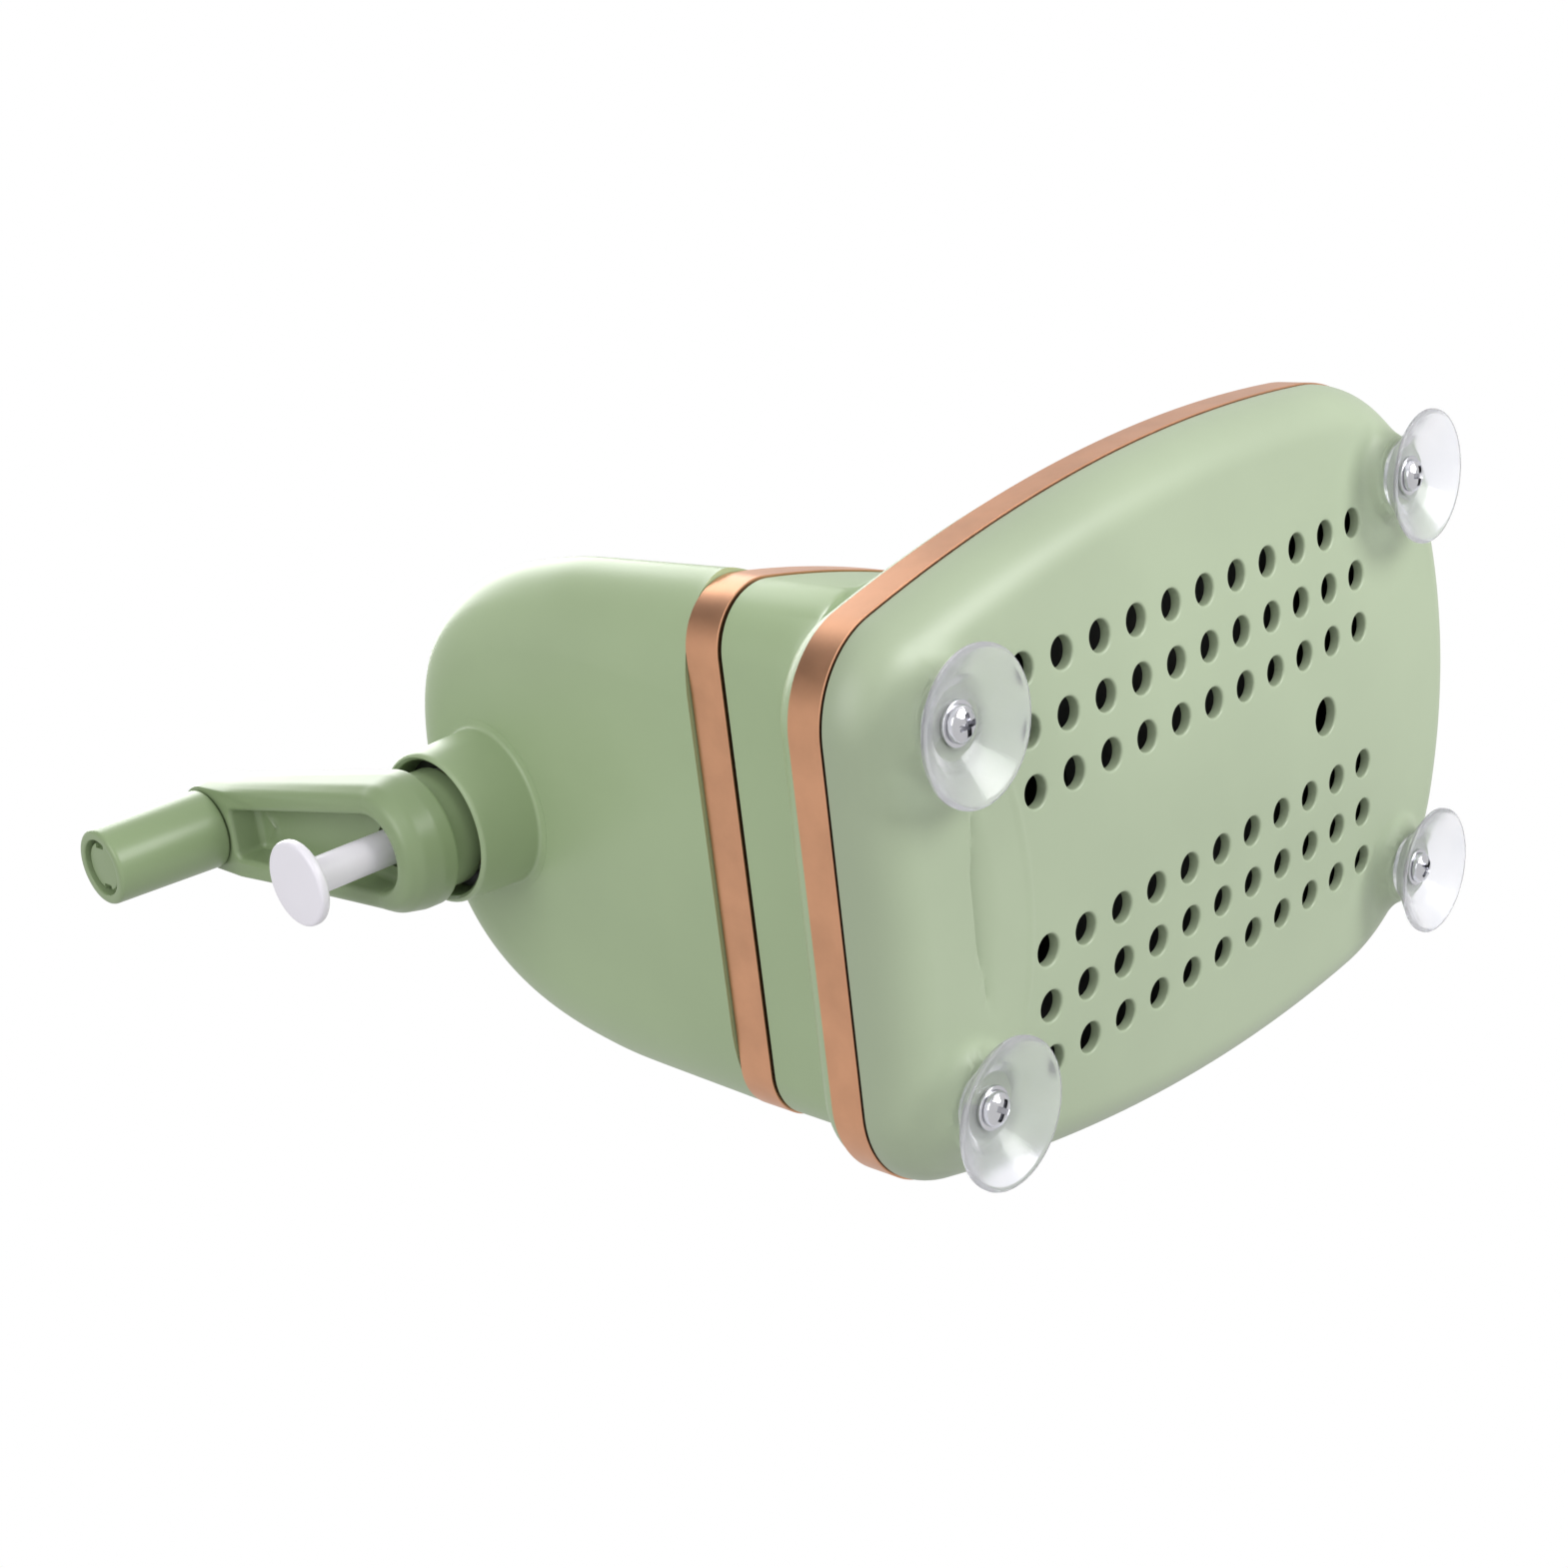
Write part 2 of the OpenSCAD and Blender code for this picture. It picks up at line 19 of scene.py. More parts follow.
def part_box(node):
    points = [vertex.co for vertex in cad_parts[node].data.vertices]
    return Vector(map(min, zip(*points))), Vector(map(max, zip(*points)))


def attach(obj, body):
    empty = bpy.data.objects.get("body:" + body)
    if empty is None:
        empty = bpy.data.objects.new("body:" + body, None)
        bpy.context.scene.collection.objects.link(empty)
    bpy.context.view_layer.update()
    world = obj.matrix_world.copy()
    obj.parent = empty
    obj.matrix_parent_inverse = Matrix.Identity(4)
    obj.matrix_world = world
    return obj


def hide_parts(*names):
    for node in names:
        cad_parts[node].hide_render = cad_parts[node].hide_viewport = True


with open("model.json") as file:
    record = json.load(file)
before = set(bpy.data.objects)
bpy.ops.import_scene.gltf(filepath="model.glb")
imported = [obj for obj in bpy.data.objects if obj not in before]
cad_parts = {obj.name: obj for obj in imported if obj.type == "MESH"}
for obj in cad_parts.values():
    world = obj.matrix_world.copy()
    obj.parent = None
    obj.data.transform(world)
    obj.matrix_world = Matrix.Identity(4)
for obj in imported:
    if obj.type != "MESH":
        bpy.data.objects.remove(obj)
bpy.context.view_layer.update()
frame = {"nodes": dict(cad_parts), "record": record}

BODY_OF = {node: body for body, nodes in frame["record"]["behaviour"]["bodies"].items() for node in nodes}

# %% [markdown]
# ## Working in millimetres
# Blender works in metres, but a kitchen tool is easier to think about in millimetres. The vent holes
# in the bottom make a good ruler, so every piece below is laid out in millimetres from the middle of
# the vents. One function turns those sizes into the frame's own metres. It finds the middle of the
# vents from the copper band on the base, whose back edge lies a known distance behind them.

# %% One ruler for everything
MM = 0.001
BASE_BACK = -102.7
BAND_PROUD = 0.4
VENTS_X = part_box("base_trim")[0].x / MM - (BASE_BACK - BAND_PROUD)
AXIS_Z = 145.5


def in_metres(points):
    """Millimetres from the middle of the vents, turned into the frame's metres."""
    return (np.asarray(points, float) + (VENTS_X, 0.0, 0.0)) * MM


print("middle of the vents at x =", round(VENTS_X, 3), "mm in the frame")

# %% [markdown]
# ## The camera
# The grinder is seen from below and behind, on the crank's side, so that its vented bottom faces the
# camera. A camera could be aimed with a tracking constraint, but two directions say the same thing
# with nothing left to drift: where it looks, and which way is up in the picture.

# %% Place the camera
LENS_MM = 49.1
CAMERA_AT = Vector((-0.33485, -0.15225, -0.23110))
LOOKS_ALONG = Vector((0.66031, 0.32005, 0.67938))
PICTURE_UP = Vector((0.30735, -0.94058, 0.14437))

picture_right = LOOKS_ALONG.cross(PICTURE_UP)
camera = bpy.data.objects.new("camera", bpy.data.cameras.new("camera"))
camera.data.lens = LENS_MM
camera.data.clip_start = 0.01
axes = Matrix((picture_right, PICTURE_UP, -LOOKS_ALONG)).transposed().to_4x4()
camera.matrix_world = Matrix.Translation(CAMERA_AT) @ axes
bpy.context.scene.collection.objects.link(camera)
bpy.context.scene.camera = camera
print("camera looks along", [round(v, 3) for v in LOOKS_ALONG])

# %% [markdown]
# ## Tools for making finishes
# Every finish is a small tree of nodes on Blender's Principled shader. A few helpers keep the trees
# short. One adds a node and fills its sockets, one gives a cloudy noise measured in metres, so that
# a speck or a grain has the same size on every piece, and the rest are steps that finishes share.

# %% Helpers for node trees
def new_finish(name):
    """A material with its tree and its shader node."""
    finish = bpy.data.materials.new(name)
    finish.use_nodes = True
    tree = finish.node_tree
    return finish, tree, tree.nodes["Principled BSDF"]


def add_node(tree, kind, sockets=None, **settings):
    """Add a node, set its properties, then set or link its input sockets."""
    node = tree.nodes.new(kind)
    for key, value in settings.items():
        setattr(node, key, value)
    for key, value in (sockets or {}).items():
        if isinstance(value, bpy.types.NodeSocket):
            tree.links.new(value, node.inputs[key])
        else:
            node.inputs[key].default_value = value
    return node


def cloud(tree, scale, detail=3.0, stretch=(1.0, 1.0, 1.0)):
    """A noise value from 0 to 1 that follows the piece. Scale is in waves per metre."""
    place = add_node(tree, "ShaderNodeTexCoord").outputs["Object"]
    if stretch != (1.0, 1.0, 1.0):
        place = add_node(tree, "ShaderNodeMapping", {"Vector": place, "Scale": stretch}).outputs[0]
    sockets = {"Vector": place, "Scale": scale, "Detail": detail}
    return add_node(tree, "ShaderNodeTexNoise", sockets).outputs[0]


def maths(tree, operation, first, second):
    """One step of arithmetic on two values."""
    return add_node(tree, "ShaderNodeMath", {0: first, 1: second}, operation=operation).outputs[0]


def ranged(tree, value, low, high, source=(0.0, 1.0)):
    """The value stretched from the source range to run from low to high."""
    sockets = {"Value": value, "From Min": source[0], "From Max": source[1], "To Min": low, "To Max": high}
    return add_node(tree, "ShaderNodeMapRange", sockets).outputs[0]


def blended(tree, factor, first, second):
    """One colour mixed into another by a factor."""
    mix = add_node(tree, "ShaderNodeMix", data_type="RGBA")
    for socket, value in zip((mix.inputs[0], mix.inputs[6], mix.inputs[7]), (factor, first, second)):
        if isinstance(value, bpy.types.NodeSocket):
            tree.links.new(value, socket)
        else:
            socket.default_value = value
    return mix.outputs[2]


def rough_skin(tree, shader, height, depth):
    """Bump from a height value, with the depth in metres."""
    bump = add_node(tree, "ShaderNodeBump", {"Height": height, "Distance": depth, "Strength": 1.0})
    tree.links.new(bump.outputs[0], shader.inputs["Normal"])


def coat(tree, shader, colour, gloss):
    """Link a colour and a gloss value to the shader."""
    tree.links.new(colour, shader.inputs["Base Color"])
    tree.links.new(gloss, shader.inputs["Roughness"])


def shade(red, green, blue):
    """A screen colour (0 to 255) as the linear colour that shaders use."""
    linear = [((c / 255 + 0.055) / 1.055) ** 2.4 if c > 10 else c / 255 / 12.92 for c in (red, green, blue)]
    return (*linear, 1.0)


def scaled(colour, factor):
    """A colour made darker or lighter by a factor."""
    return tuple(min(1.0, factor * c) for c in colour[:3]) + (1.0,)


# %% [markdown]
# ## Glossy moulded plastic
# The casings are sage green, with a slightly paler pan. The crank wears a darker copy of the same
# green, which is painted shade. A flat green would look like a drawing: real moulded plastic has
# faint clouds where the melt flowed, a gloss that is never quite even, a very fine orange-peel skin,
# and here and there a dark speck. Each of those is one pattern in the tree, so one recipe serves every
# plastic.

# %% The plastic finish
SPECK_CELLS = 26.0
SPECK_SIZE = 0.0095
SPECK_CHOICE = 0.55
SPECK_COLOUR = shade(70, 72, 50)
FLOW_WAVES, GLOSS_WAVES, PEEL_WAVES = 14.0, 55.0, 650.0
FLOW_SPREAD = (0.3, 0.7)
FLOW_DARK, FLOW_LIGHT = 0.93, 1.05
PEEL_DEPTH = 0.00001
GLOSS_BELOW, GLOSS_ABOVE = 0.03, 0.04


def specks(tree):
    """1 inside a few tiny specks, 0 elsewhere."""
    place = add_node(tree, "ShaderNodeTexCoord").outputs["Object"]
    cells = add_node(tree, "ShaderNodeTexVoronoi", {"Vector": place, "Scale": SPECK_CELLS})
    inside = maths(tree, "LESS_THAN", cells.outputs["Distance"], SPECK_SIZE)
    pick = add_node(tree, "ShaderNodeSeparateColor", {0: cells.outputs["Color"]}).outputs[0]
    rare = maths(tree, "GREATER_THAN", pick, SPECK_CHOICE)
    return maths(tree, "MULTIPLY", inside, rare)


def moulded_plastic(name, colour, gloss):
    """Glossy plastic with flow clouds, uneven gloss, orange peel and a few specks."""
    finish, tree, shader = new_finish(name)
    clouds = ranged(tree, cloud(tree, FLOW_WAVES, 4.0), 0.0, 1.0, FLOW_SPREAD)
    body = blended(tree, clouds, scaled(colour, FLOW_DARK), scaled(colour, FLOW_LIGHT))
    speckled = blended(tree, specks(tree), body, SPECK_COLOUR)
    waves = cloud(tree, GLOSS_WAVES)
    coat(tree, shader, speckled, ranged(tree, waves, gloss - GLOSS_BELOW, gloss + GLOSS_ABOVE))
    rough_skin(tree, shader, cloud(tree, PEEL_WAVES, 2.0), PEEL_DEPTH)
    return finish


sage_plastic = moulded_plastic("sage_plastic", shade(158, 177, 138), gloss=0.36)
# A darker copy of the sage plastic: painted shade for the crank arm, grip and plug
crank_painted_shade = moulded_plastic("crank_painted_shade", shade(136, 155, 116), gloss=0.33)
pale_plastic = moulded_plastic("pale_plastic", shade(158, 171, 144), gloss=0.38)
white_plastic = moulded_plastic("white_plastic", shade(233, 230, 238), gloss=0.33)
# Near-black painted shade for faces inside the casings; their real plastic is the same green as outside
painted_inner_shade = moulded_plastic("painted_inner_shade", shade(11, 13, 10), gloss=0.6)
print("plastics:", sage_plastic.name, crank_painted_shade.name, pale_plastic.name)
print("and", white_plastic.name, painted_inner_shade.name)

# %% [markdown]
# ## Metals, rubber and clear vinyl
# The trim bands are satin copper foil, the screws are bright plated steel, the barrel and auger are
# cast metal with a sandy skin, and the suction cups are clear soft vinyl. Clear vinyl is never as
# clean as glass, so not all light goes through it, and its surface is unevenly rough.

# %% The other finishes
TARNISH_WAVES, TARNISH_SPREAD, TARNISHED = 90.0, (0.35, 0.7), 0.86
RUBBER_BLOOM, RUBBER_GLOSS = 1.8, (0.55, 0.75)
CLEARNESS, VINYL_IOR, VINYL_GLOSS = 0.84, 1.46, (0.14, 0.28)
SOFT_SKIN = 0.00002


def metal(name, colour, gloss, spread=0.05, skin=(900.0, 0.000004), stretch=(1.0, 1.0, 1.0)):
    """Metal with an uneven gloss and a fine skin. A stretch below 1 draws the grain out along that axis."""
    finish, tree, shader = new_finish(name)
    shader.inputs["Metallic"].default_value = 1.0
    tarnish = ranged(tree, cloud(tree, TARNISH_WAVES, 4.0, stretch), 0.0, 1.0, TARNISH_SPREAD)
    body = blended(tree, tarnish, colour, scaled(colour, TARNISHED))
    coat(tree, shader, body, ranged(tree, cloud(tree, 240.0, 3.0, stretch), gloss - spread, gloss + spread))
    rough_skin(tree, shader, cloud(tree, skin[0], 3.0, stretch), skin[1])
    return finish


def soft_rubber(name, colour):
    """Matt moulded rubber with a dusty bloom."""
    finish, tree, shader = new_finish(name)
    body = blended(tree, cloud(tree, 120.0, 4.0), colour, scaled(colour, RUBBER_BLOOM))
    coat(tree, shader, body, ranged(tree, cloud(tree, 60.0), *RUBBER_GLOSS))
    rough_skin(tree, shader, cloud(tree, 800.0), SOFT_SKIN)
    return finish


def clear_vinyl(name):
    """Soft clear vinyl: mostly see-through, a little milky, with uneven clearness."""
    finish, tree, shader = new_finish(name)
    shader.inputs["Transmission Weight"].default_value = CLEARNESS
    shader.inputs["IOR"].default_value = VINYL_IOR
    milk = ranged(tree, cloud(tree, 70.0, 3.0), 0.0, 1.0, (0.3, 0.7))
    body = blended(tree, milk, shade(250, 250, 253), shade(240, 241, 246))
    coat(tree, shader, body, ranged(tree, cloud(tree, 110.0), *VINYL_GLOSS))
    rough_skin(tree, shader, cloud(tree, 300.0, 2.0), SOFT_SKIN)
    return finish


copper_foil = metal("copper_foil", shade(222, 166, 130), 0.36)
bright_steel = metal("bright_steel", shade(214, 214, 218), 0.12, 0.04)
ground_steel = metal("ground_steel", shade(196, 198, 200), 0.26, 0.06, (1400.0, 0.00001), (1.0, 0.15, 0.15))
cast_metal = metal("cast_metal", shade(186, 188, 186), 0.42, 0.08, (700.0, 0.00004))
bronze = metal("bronze", shade(184, 138, 70), 0.3, 0.06)
# Dark steel for the barrel clip: painted shade for the dark gap it sits in
clip_painted_shade = metal("clip_painted_shade", shade(64, 64, 66), 0.42)
dark_rubber = soft_rubber("dark_rubber", shade(38, 38, 38))
vinyl = clear_vinyl("vinyl")
print("finishes ready:", len(bpy.data.materials))

# %% [markdown]
# ## Tools for making skins
# Nearly every casing here is a stack of rings, like the hoops of a barrel with a sheet drawn over
# them. A grid of points, one row for each ring, is quick to make with arrays and gives even faces,
# which reflect light without ripples. Subdivision of a coarse cage would also work, but then the
# seams between neighbouring pieces would not meet to a tenth of a millimetre.

# %% Build a mesh from rings
WELD_REACH = 0.5e-6
SHARP_FROM = 35.0


def new_piece(name, points, faces):
    """A smooth-shaded mesh object from points in millimetres, welded, its faces turned outwards."""
    mesh = bpy.data.meshes.new(name)
    mesh.from_pydata(in_metres(points).tolist(), [], faces)
    skin = bmesh.new()
    skin.from_mesh(mesh)
    bmesh.ops.remove_doubles(skin, verts=skin.verts, dist=WELD_REACH)
    bmesh.ops.recalc_face_normals(skin, faces=skin.faces)
    skin.to_mesh(mesh)
    skin.free()
    piece = bpy.data.objects.new(name, mesh)
    bpy.context.scene.collection.objects.link(piece)
    return smooth(piece)


def smooth(piece):
    """Shade the faces smooth, but keep true corners sharp."""
    piece.data.shade_smooth()
    piece.data.set_sharp_from_angle(angle=math.radians(SHARP_FROM))
    return piece


def settle(piece):
    """Apply all modifiers."""
    graph = bpy.context.evaluated_depsgraph_get()
    mesh = bpy.data.meshes.new_from_object(piece.evaluated_get(graph), depsgraph=graph)
    piece.modifiers.clear()
    piece.data = mesh
    return smooth(piece)


def ring_stack(name, rows, tube=False):
    """A skin over rings of equal point counts. A tube's last ring joins its first."""
    rows = np.asarray(rows, float)
    count, around = rows.shape[:2]
    faces = []
    for k in range(count if tube else count - 1):
        low, high = k * around, (k + 1) % count * around
        for i in range(around):
            j = (i + 1) % around
            faces.append((low + i, low + j, high + j, high + i))
    return new_piece(name, rows.reshape(-1, 3), faces)


def spaced(points, count):
    """The same line, with its points evenly spaced."""
    points = np.asarray(points, float)
    steps = np.linalg.norm(np.diff(points, axis=0), axis=1)
    along = np.concatenate([[0.0], np.cumsum(steps)])
    wanted = np.linspace(0.0, along[-1], count)
    return np.stack([np.interp(wanted, along, column) for column in points.T], axis=1)


def softened(rows, passes):
    """Rows with their creases relaxed. The first and the last row stay."""
    rows = np.array(rows, float)
    for _ in range(passes):
        rows[1:-1] = 0.25 * rows[:-2] + 0.5 * rows[1:-1] + 0.25 * rows[2:]
    return rows


def evened(rows, count):
    """Rings spaced evenly along each line that runs from the first ring to the last."""
    rows = np.asarray(rows, float)
    lines = [spaced(rows[:, i], count) for i in range(rows.shape[1])]
    return np.stack(lines, axis=1)


# %% [markdown]
# ## Turned parts and cutting
# Pins, knobs, cups and screws are turned: a profile spun about an axis. No real edge is perfectly
# sharp, and a sharp edge catches no light, so each corner of a profile names the radius of its
# rounding. Holes are cut with Blender's boolean, which keeps a closed mesh closed.

# %% Turn a rounded profile
def rounded(corners, steps=5):
    """Points of a profile whose corners are (along, radius, rounding)."""
    points = [np.array(corners[0][:2], float)]
    for before, corner, after in zip(corners, corners[1:], corners[2:]):
        here = np.array(corner[:2], float)
        to_before, to_after = np.array(before[:2]) - here, np.array(after[:2]) - here
        reach_before, reach_after = np.linalg.norm(to_before), np.linalg.norm(to_after)
        to_before, to_after = to_before / reach_before, to_after / reach_after
        half = math.acos(np.clip(to_before @ to_after, -1, 1)) / 2
        trim = min(corner[2] / math.tan(half), 0.49 * reach_before, 0.49 * reach_after) if corner[2] else 0.0
        if trim < 1e-6:
            points.append(here)
            continue
        start, end = here + trim * to_before, here + trim * to_after
        for k in range(steps + 1):
            t = k / steps
            points.append((1 - t) ** 2 * start + 2 * t * (1 - t) * here + t ** 2 * end)
    return points + [np.array(corners[-1][:2], float)]


def turned_rows(profile, centre, axis="x", around=64):
    """Rings of a profile of (along, radius) points spun about an axis through a centre."""
    angle = np.linspace(0, 2 * math.pi, around, endpoint=False)
    rows = []
    for along, radius in profile:
        a, b = radius * np.cos(angle), radius * np.sin(angle)
        flat = np.full(around, along)
        rows.append(np.stack([flat, a, b] if axis == "x" else [a, -b, flat], axis=1) + centre)
    return rows


def turned(name, corners, centre, axis="x", around=64, ring=False):
    """A turned solid. A ring's profile is closed and doesn't reach the axis."""
    profile = rounded(corners)
    return ring_stack(name, turned_rows(profile[:-1] if ring else profile, centre, axis, around), tube=ring)


def bar(name, start, end, radius, centre, axis="x", around=64, edge=0):
    """A round bar from start to end. Its far edge can be rounded."""
    corners = [(start, 0.0, 0), (start, radius, 0), (end, radius, edge), (end, 0.0, 0)]
    return turned(name, corners, centre, axis, around)


QUARTER = np.radians(np.arange(0, 91, 15))
ROUND, FINE = 96, 128

# %% Cut and join
def combine(piece, operation, *tools):
    """Cut tools out of a piece or join them to it, then throw the tools away."""
    for tool in tools:
        step = piece.modifiers.new(operation.lower(), "BOOLEAN")
        step.operation = operation
        step.solver = "MANIFOLD"
        step.object = tool
    settle(piece)
    for tool in tools:
        bpy.data.objects.remove(tool)
    return piece


def block(name, low, high):
    """A plain box between two corners, used only as a cutting tool."""
    corners = [(x, y, z) for x in (low[0], high[0]) for y in (low[1], high[1]) for z in (low[2], high[2])]
    faces = [(0, 1, 3, 2), (4, 6, 7, 5), (0, 4, 5, 1), (2, 3, 7, 6), (0, 2, 6, 4), (1, 5, 7, 3)]
    return new_piece(name, corners, faces)


def fit(piece, node, slot, *finishes):
    """Put a finished piece in its node's place: the same body and its finishes. The slot is not used."""
    if finishes:
        piece.data.materials.clear()
        for finish in finishes:
            piece.data.materials.append(finish)
    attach(piece, BODY_OF[node])
    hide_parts(node)
    print(piece.name, "on", BODY_OF[node], "faces", len(piece.data.polygons))
    return piece


# %% [markdown]
# ## The outlines
# Seen from above, the base and the waist are both soft trapezes: a flat back edge, a tight corner, a
# long side that is almost straight, and a rounded front. Each is a chain of arcs in which every arc
# starts in the direction where the last one ended. An outline can be grown or shrunk by adding to
# the radius of each arc, and that keeps wall thicknesses and trim bands even all the way round.

# %% Draw an outline
BASE = (BASE_BACK, 36.6, ((20.7, 74.6, 48), (429.3, 19.84, 36), (47.6, 69.0, 48)))
WAIST = (-88.6, 44.4, ((13.0, 98.6, 54), (263.0, 11.5, 30), (14.0, 49.9, 48)))
BACK_STEPS = 24
NOSE_STEPS = 24


def walk(arcs, start, grow):
    """Points along arcs, each tangent to the last, heading +Y at first and turning towards +X."""
    points, here, heading = [], np.array(start, float), 0.0
    for radius, sweep, steps in arcs:
        reach = radius + grow
        centre = here + reach * np.array([math.cos(heading), -math.sin(heading)])
        for k in range(1, steps + 1):
            turn = heading + math.radians(sweep) * k / steps
            points.append(centre - reach * np.array([math.cos(turn), -math.sin(turn)]))
        heading += math.radians(sweep)
        here = points[-1]
    return points


def plan(shape, grow=0.0):
    """Closed outline of a shape, grown outwards, from the middle of the back and round."""
    back, flat, arcs = shape
    sweep = sum(arc[1] for arc in arcs)
    nose_radius = walk(arcs, (back, flat), 0.0)[-1][1] / math.sin(math.radians(sweep))
    nose = (nose_radius, 180.0 - sweep, NOSE_STEPS)
    edge = [np.array([back - grow, flat * k / BACK_STEPS]) for k in range(BACK_STEPS + 1)]
    half = np.array(edge + walk((*arcs, nose), (back - grow, flat), grow))
    return np.vstack([half, half[-2:0:-1] * (1, -1)])


def at_height(outline, z):
    """An outline lifted to a height."""
    return np.column_stack([outline, np.broadcast_to(z, len(outline))])


print("points round the base", len(plan(BASE)))
print("front of the base at", round(plan(BASE)[:, 0].max(), 1), "mm")

# %% [markdown]
# ## The bottom pan
# The pan closes the stand from below, and it faces the camera, so it carries the most detail. Its
# plate bows gently, its rim is rounded, each suction cup sits on a boss that flares out of the plate,
# and behind the vents the mould has left a lens-shaped crease and a thin step. All of these are small
# changes of height, so they are written as one height over the plate and built into the rings.

# %% The height of the plate
PLATE_Z = 7.7
DOME = (0.000167, 0.000683)
CUP_PLACES = ((-85.0, 38.0), (-85.0, -38.0), (77.4, 47.5), (77.4, -47.5))
BOSS_R = 8.5
FLARE_OUT, FLARE_R, FLARE_DROP = 13.2, 4.6, 2.6
FLARE_STOP = 0.99
CREASE = dict(x=-73.2, bend=4.6, y=1.0, half=23.0, width=7.6, depth=2.1, wall=0.14, power=1.7)
STEP_LINE = dict(x=-64.4, bend=3.0, y=2.0, half=23.0, width=0.6, height=0.28, fade=1.6)


def boss_flare(x, y):
    """How far the plate drops towards a boss: a quarter-round flare, cut off inside the boss."""
    drop = np.zeros_like(x)
    for cup_x, cup_y in CUP_PLACES:
        inside = np.clip(FLARE_OUT - np.hypot(x - cup_x, y - cup_y), 0.0, FLARE_STOP * FLARE_R)
        drop = np.maximum(drop, FLARE_R - np.sqrt(FLARE_R ** 2 - inside ** 2))
    return np.minimum(drop, FLARE_DROP)


def mould_crease(x, y):
    """Depth of the lens-shaped crease: it deepens away from the vents and ends in a steep wall."""
    along = np.clip((y - CREASE["y"]) / CREASE["half"], -1.0, 1.0)
    open_width = CREASE["width"] * (1 - along ** 2) + 1e-6
    across = (CREASE["x"] - CREASE["bend"] * along ** 2 - x) / open_width
    shape = np.clip((1 - across) / CREASE["wall"], 0, 1) * np.clip(across, 0, 1) ** CREASE["power"]
    return CREASE["depth"] * (1 - along ** 2) * shape


def mould_step(x, y):
    """Height of the thin step beside the crease."""
    along = (y - STEP_LINE["y"]) / STEP_LINE["half"]
    across = (x - STEP_LINE["x"] + STEP_LINE["bend"] * along ** 2) / STEP_LINE["width"]
    return STEP_LINE["height"] * np.exp(-across ** 2) * np.clip(STEP_LINE["fade"] - along ** 2, 0, 1)


def plate_height(x, y):
    """Height of the plate's outside, without what the mould left on it."""
    return PLATE_Z + DOME[0] * x * x + DOME[1] * y * y


# %% Skin the pan
BASE_TRIM_Z = 21.3
EDGE_ROUND = 10.0
WALL = 2.4
PLATE_ROWS, RIM_ROWS = 60, 18
INSIDE_PLATE_ROWS, INSIDE_RIM_ROWS = 20, 8
SPINE = 0.5
PAN_LIP = ((0.25, 0.2), (0.9, 0.25))
FACES_UP = 0.2


def pan_rows(inset, plate_rows, rim_rows, detailed):
    """Rings from the middle of the plate over its rounded rim, inset from the outside."""
    rows = []
    for share in np.linspace(0.0, 1.0, plate_rows):
        outline = plan(BASE, -inset - EDGE_ROUND) * (SPINE + (1 - SPINE) * share, share)
        rows.append(at_height(outline, plate_height(*outline.T) + inset))
    for turn in np.radians(np.linspace(90, 0, rim_rows))[1:]:
        outline = plan(BASE, -inset - EDGE_ROUND * (1 - math.cos(turn)))
        plate = plate_height(*outline.T) + inset
        rows.append(at_height(outline, BASE_TRIM_Z - (BASE_TRIM_Z - plate) * math.sin(turn)))
    rows = np.array(rows)
    if detailed:
        x, y = rows[..., 0], rows[..., 1]
        rows[..., 2] += mould_crease(x, y) - mould_step(x, y) - boss_flare(x, y)
    return rows


outside = pan_rows(0.0, PLATE_ROWS, RIM_ROWS, True)
inside = pan_rows(WALL, INSIDE_PLATE_ROWS, INSIDE_RIM_ROWS, False)
lip = [at_height(plan(BASE, -inset), BASE_TRIM_Z + rise) for inset, rise in PAN_LIP]
pan = ring_stack("pan", np.concatenate([outside, lip, inside[::-1]]))
pan.data.materials.append(pale_plastic)
pan.data.materials.append(painted_inner_shade)
# Upward faces inside the pan get the painted shade instead of the pan's green
for face in pan.data.polygons:
    middle = face.center / MM
    depth = middle.z - plate_height(middle.x - VENTS_X, middle.y)
    face.material_index = int(face.normal.z > FACES_UP and depth > 0.5 * WALL)
print("pan skinned with", len(pan.data.polygons), "faces")

# %% [markdown]
# ## Vent holes with soft lips
# A hole cut straight through leaves an edge like a razor. Each cutting tool here is a peg with a
# flared collar, so it cuts the hole and rounds its lip in one go. The collar follows the plate's own
# slope, which keeps the lip the same width all the way round. All the pegs cut together.

# %% Cut the vents
PITCH = 12.0
VENT_ROW_Y = 28.3
VENT_R = 3.25
LIP_R = 0.55
PEG_LOW, PEG_HIGH, PEG_POINTS = -1.0, 6.0, 48
MIDDLE_HOLE = (43.8, 0.0, 4.3)
CUP_HOLE_R = 2.3


def peg_rows(x, y, radius, surface):
    """Rings of one flared peg that passes through the plate at a place."""
    flare = [(radius + LIP_R * (1 - math.sin(a)), LIP_R * (1 - math.cos(a))) for a in QUARTER]
    angle = np.linspace(0, 2 * math.pi, PEG_POINTS, endpoint=False)
    profile = [(0.0, PEG_LOW), (radius + LIP_R, PEG_LOW), *flare, (radius, PEG_HIGH), (0.0, PEG_HIGH)]
    rows = []
    for reach, rise in profile:
        ring_x, ring_y = x + reach * np.cos(angle), y + reach * np.sin(angle)
        rows.append(np.stack([ring_x, ring_y, surface(ring_x, ring_y) + rise], axis=1))
    return rows


def peg_board(name, places, surface):
    """All pegs as one mesh."""
    points, faces = [], []
    for x, y, radius in places:
        rows = np.array(peg_rows(x, y, radius, surface))
        count, around = rows.shape[:2]
        start = len(points)
        points.extend(rows.reshape(-1, 3))
        for k in range(count - 1):
            for i in range(around):
                j = (i + 1) % around
                low, high = start + k * around, start + (k + 1) * around
                faces.append((low + i, high + i, high + j, low + j))
    return new_piece(name, points, faces)


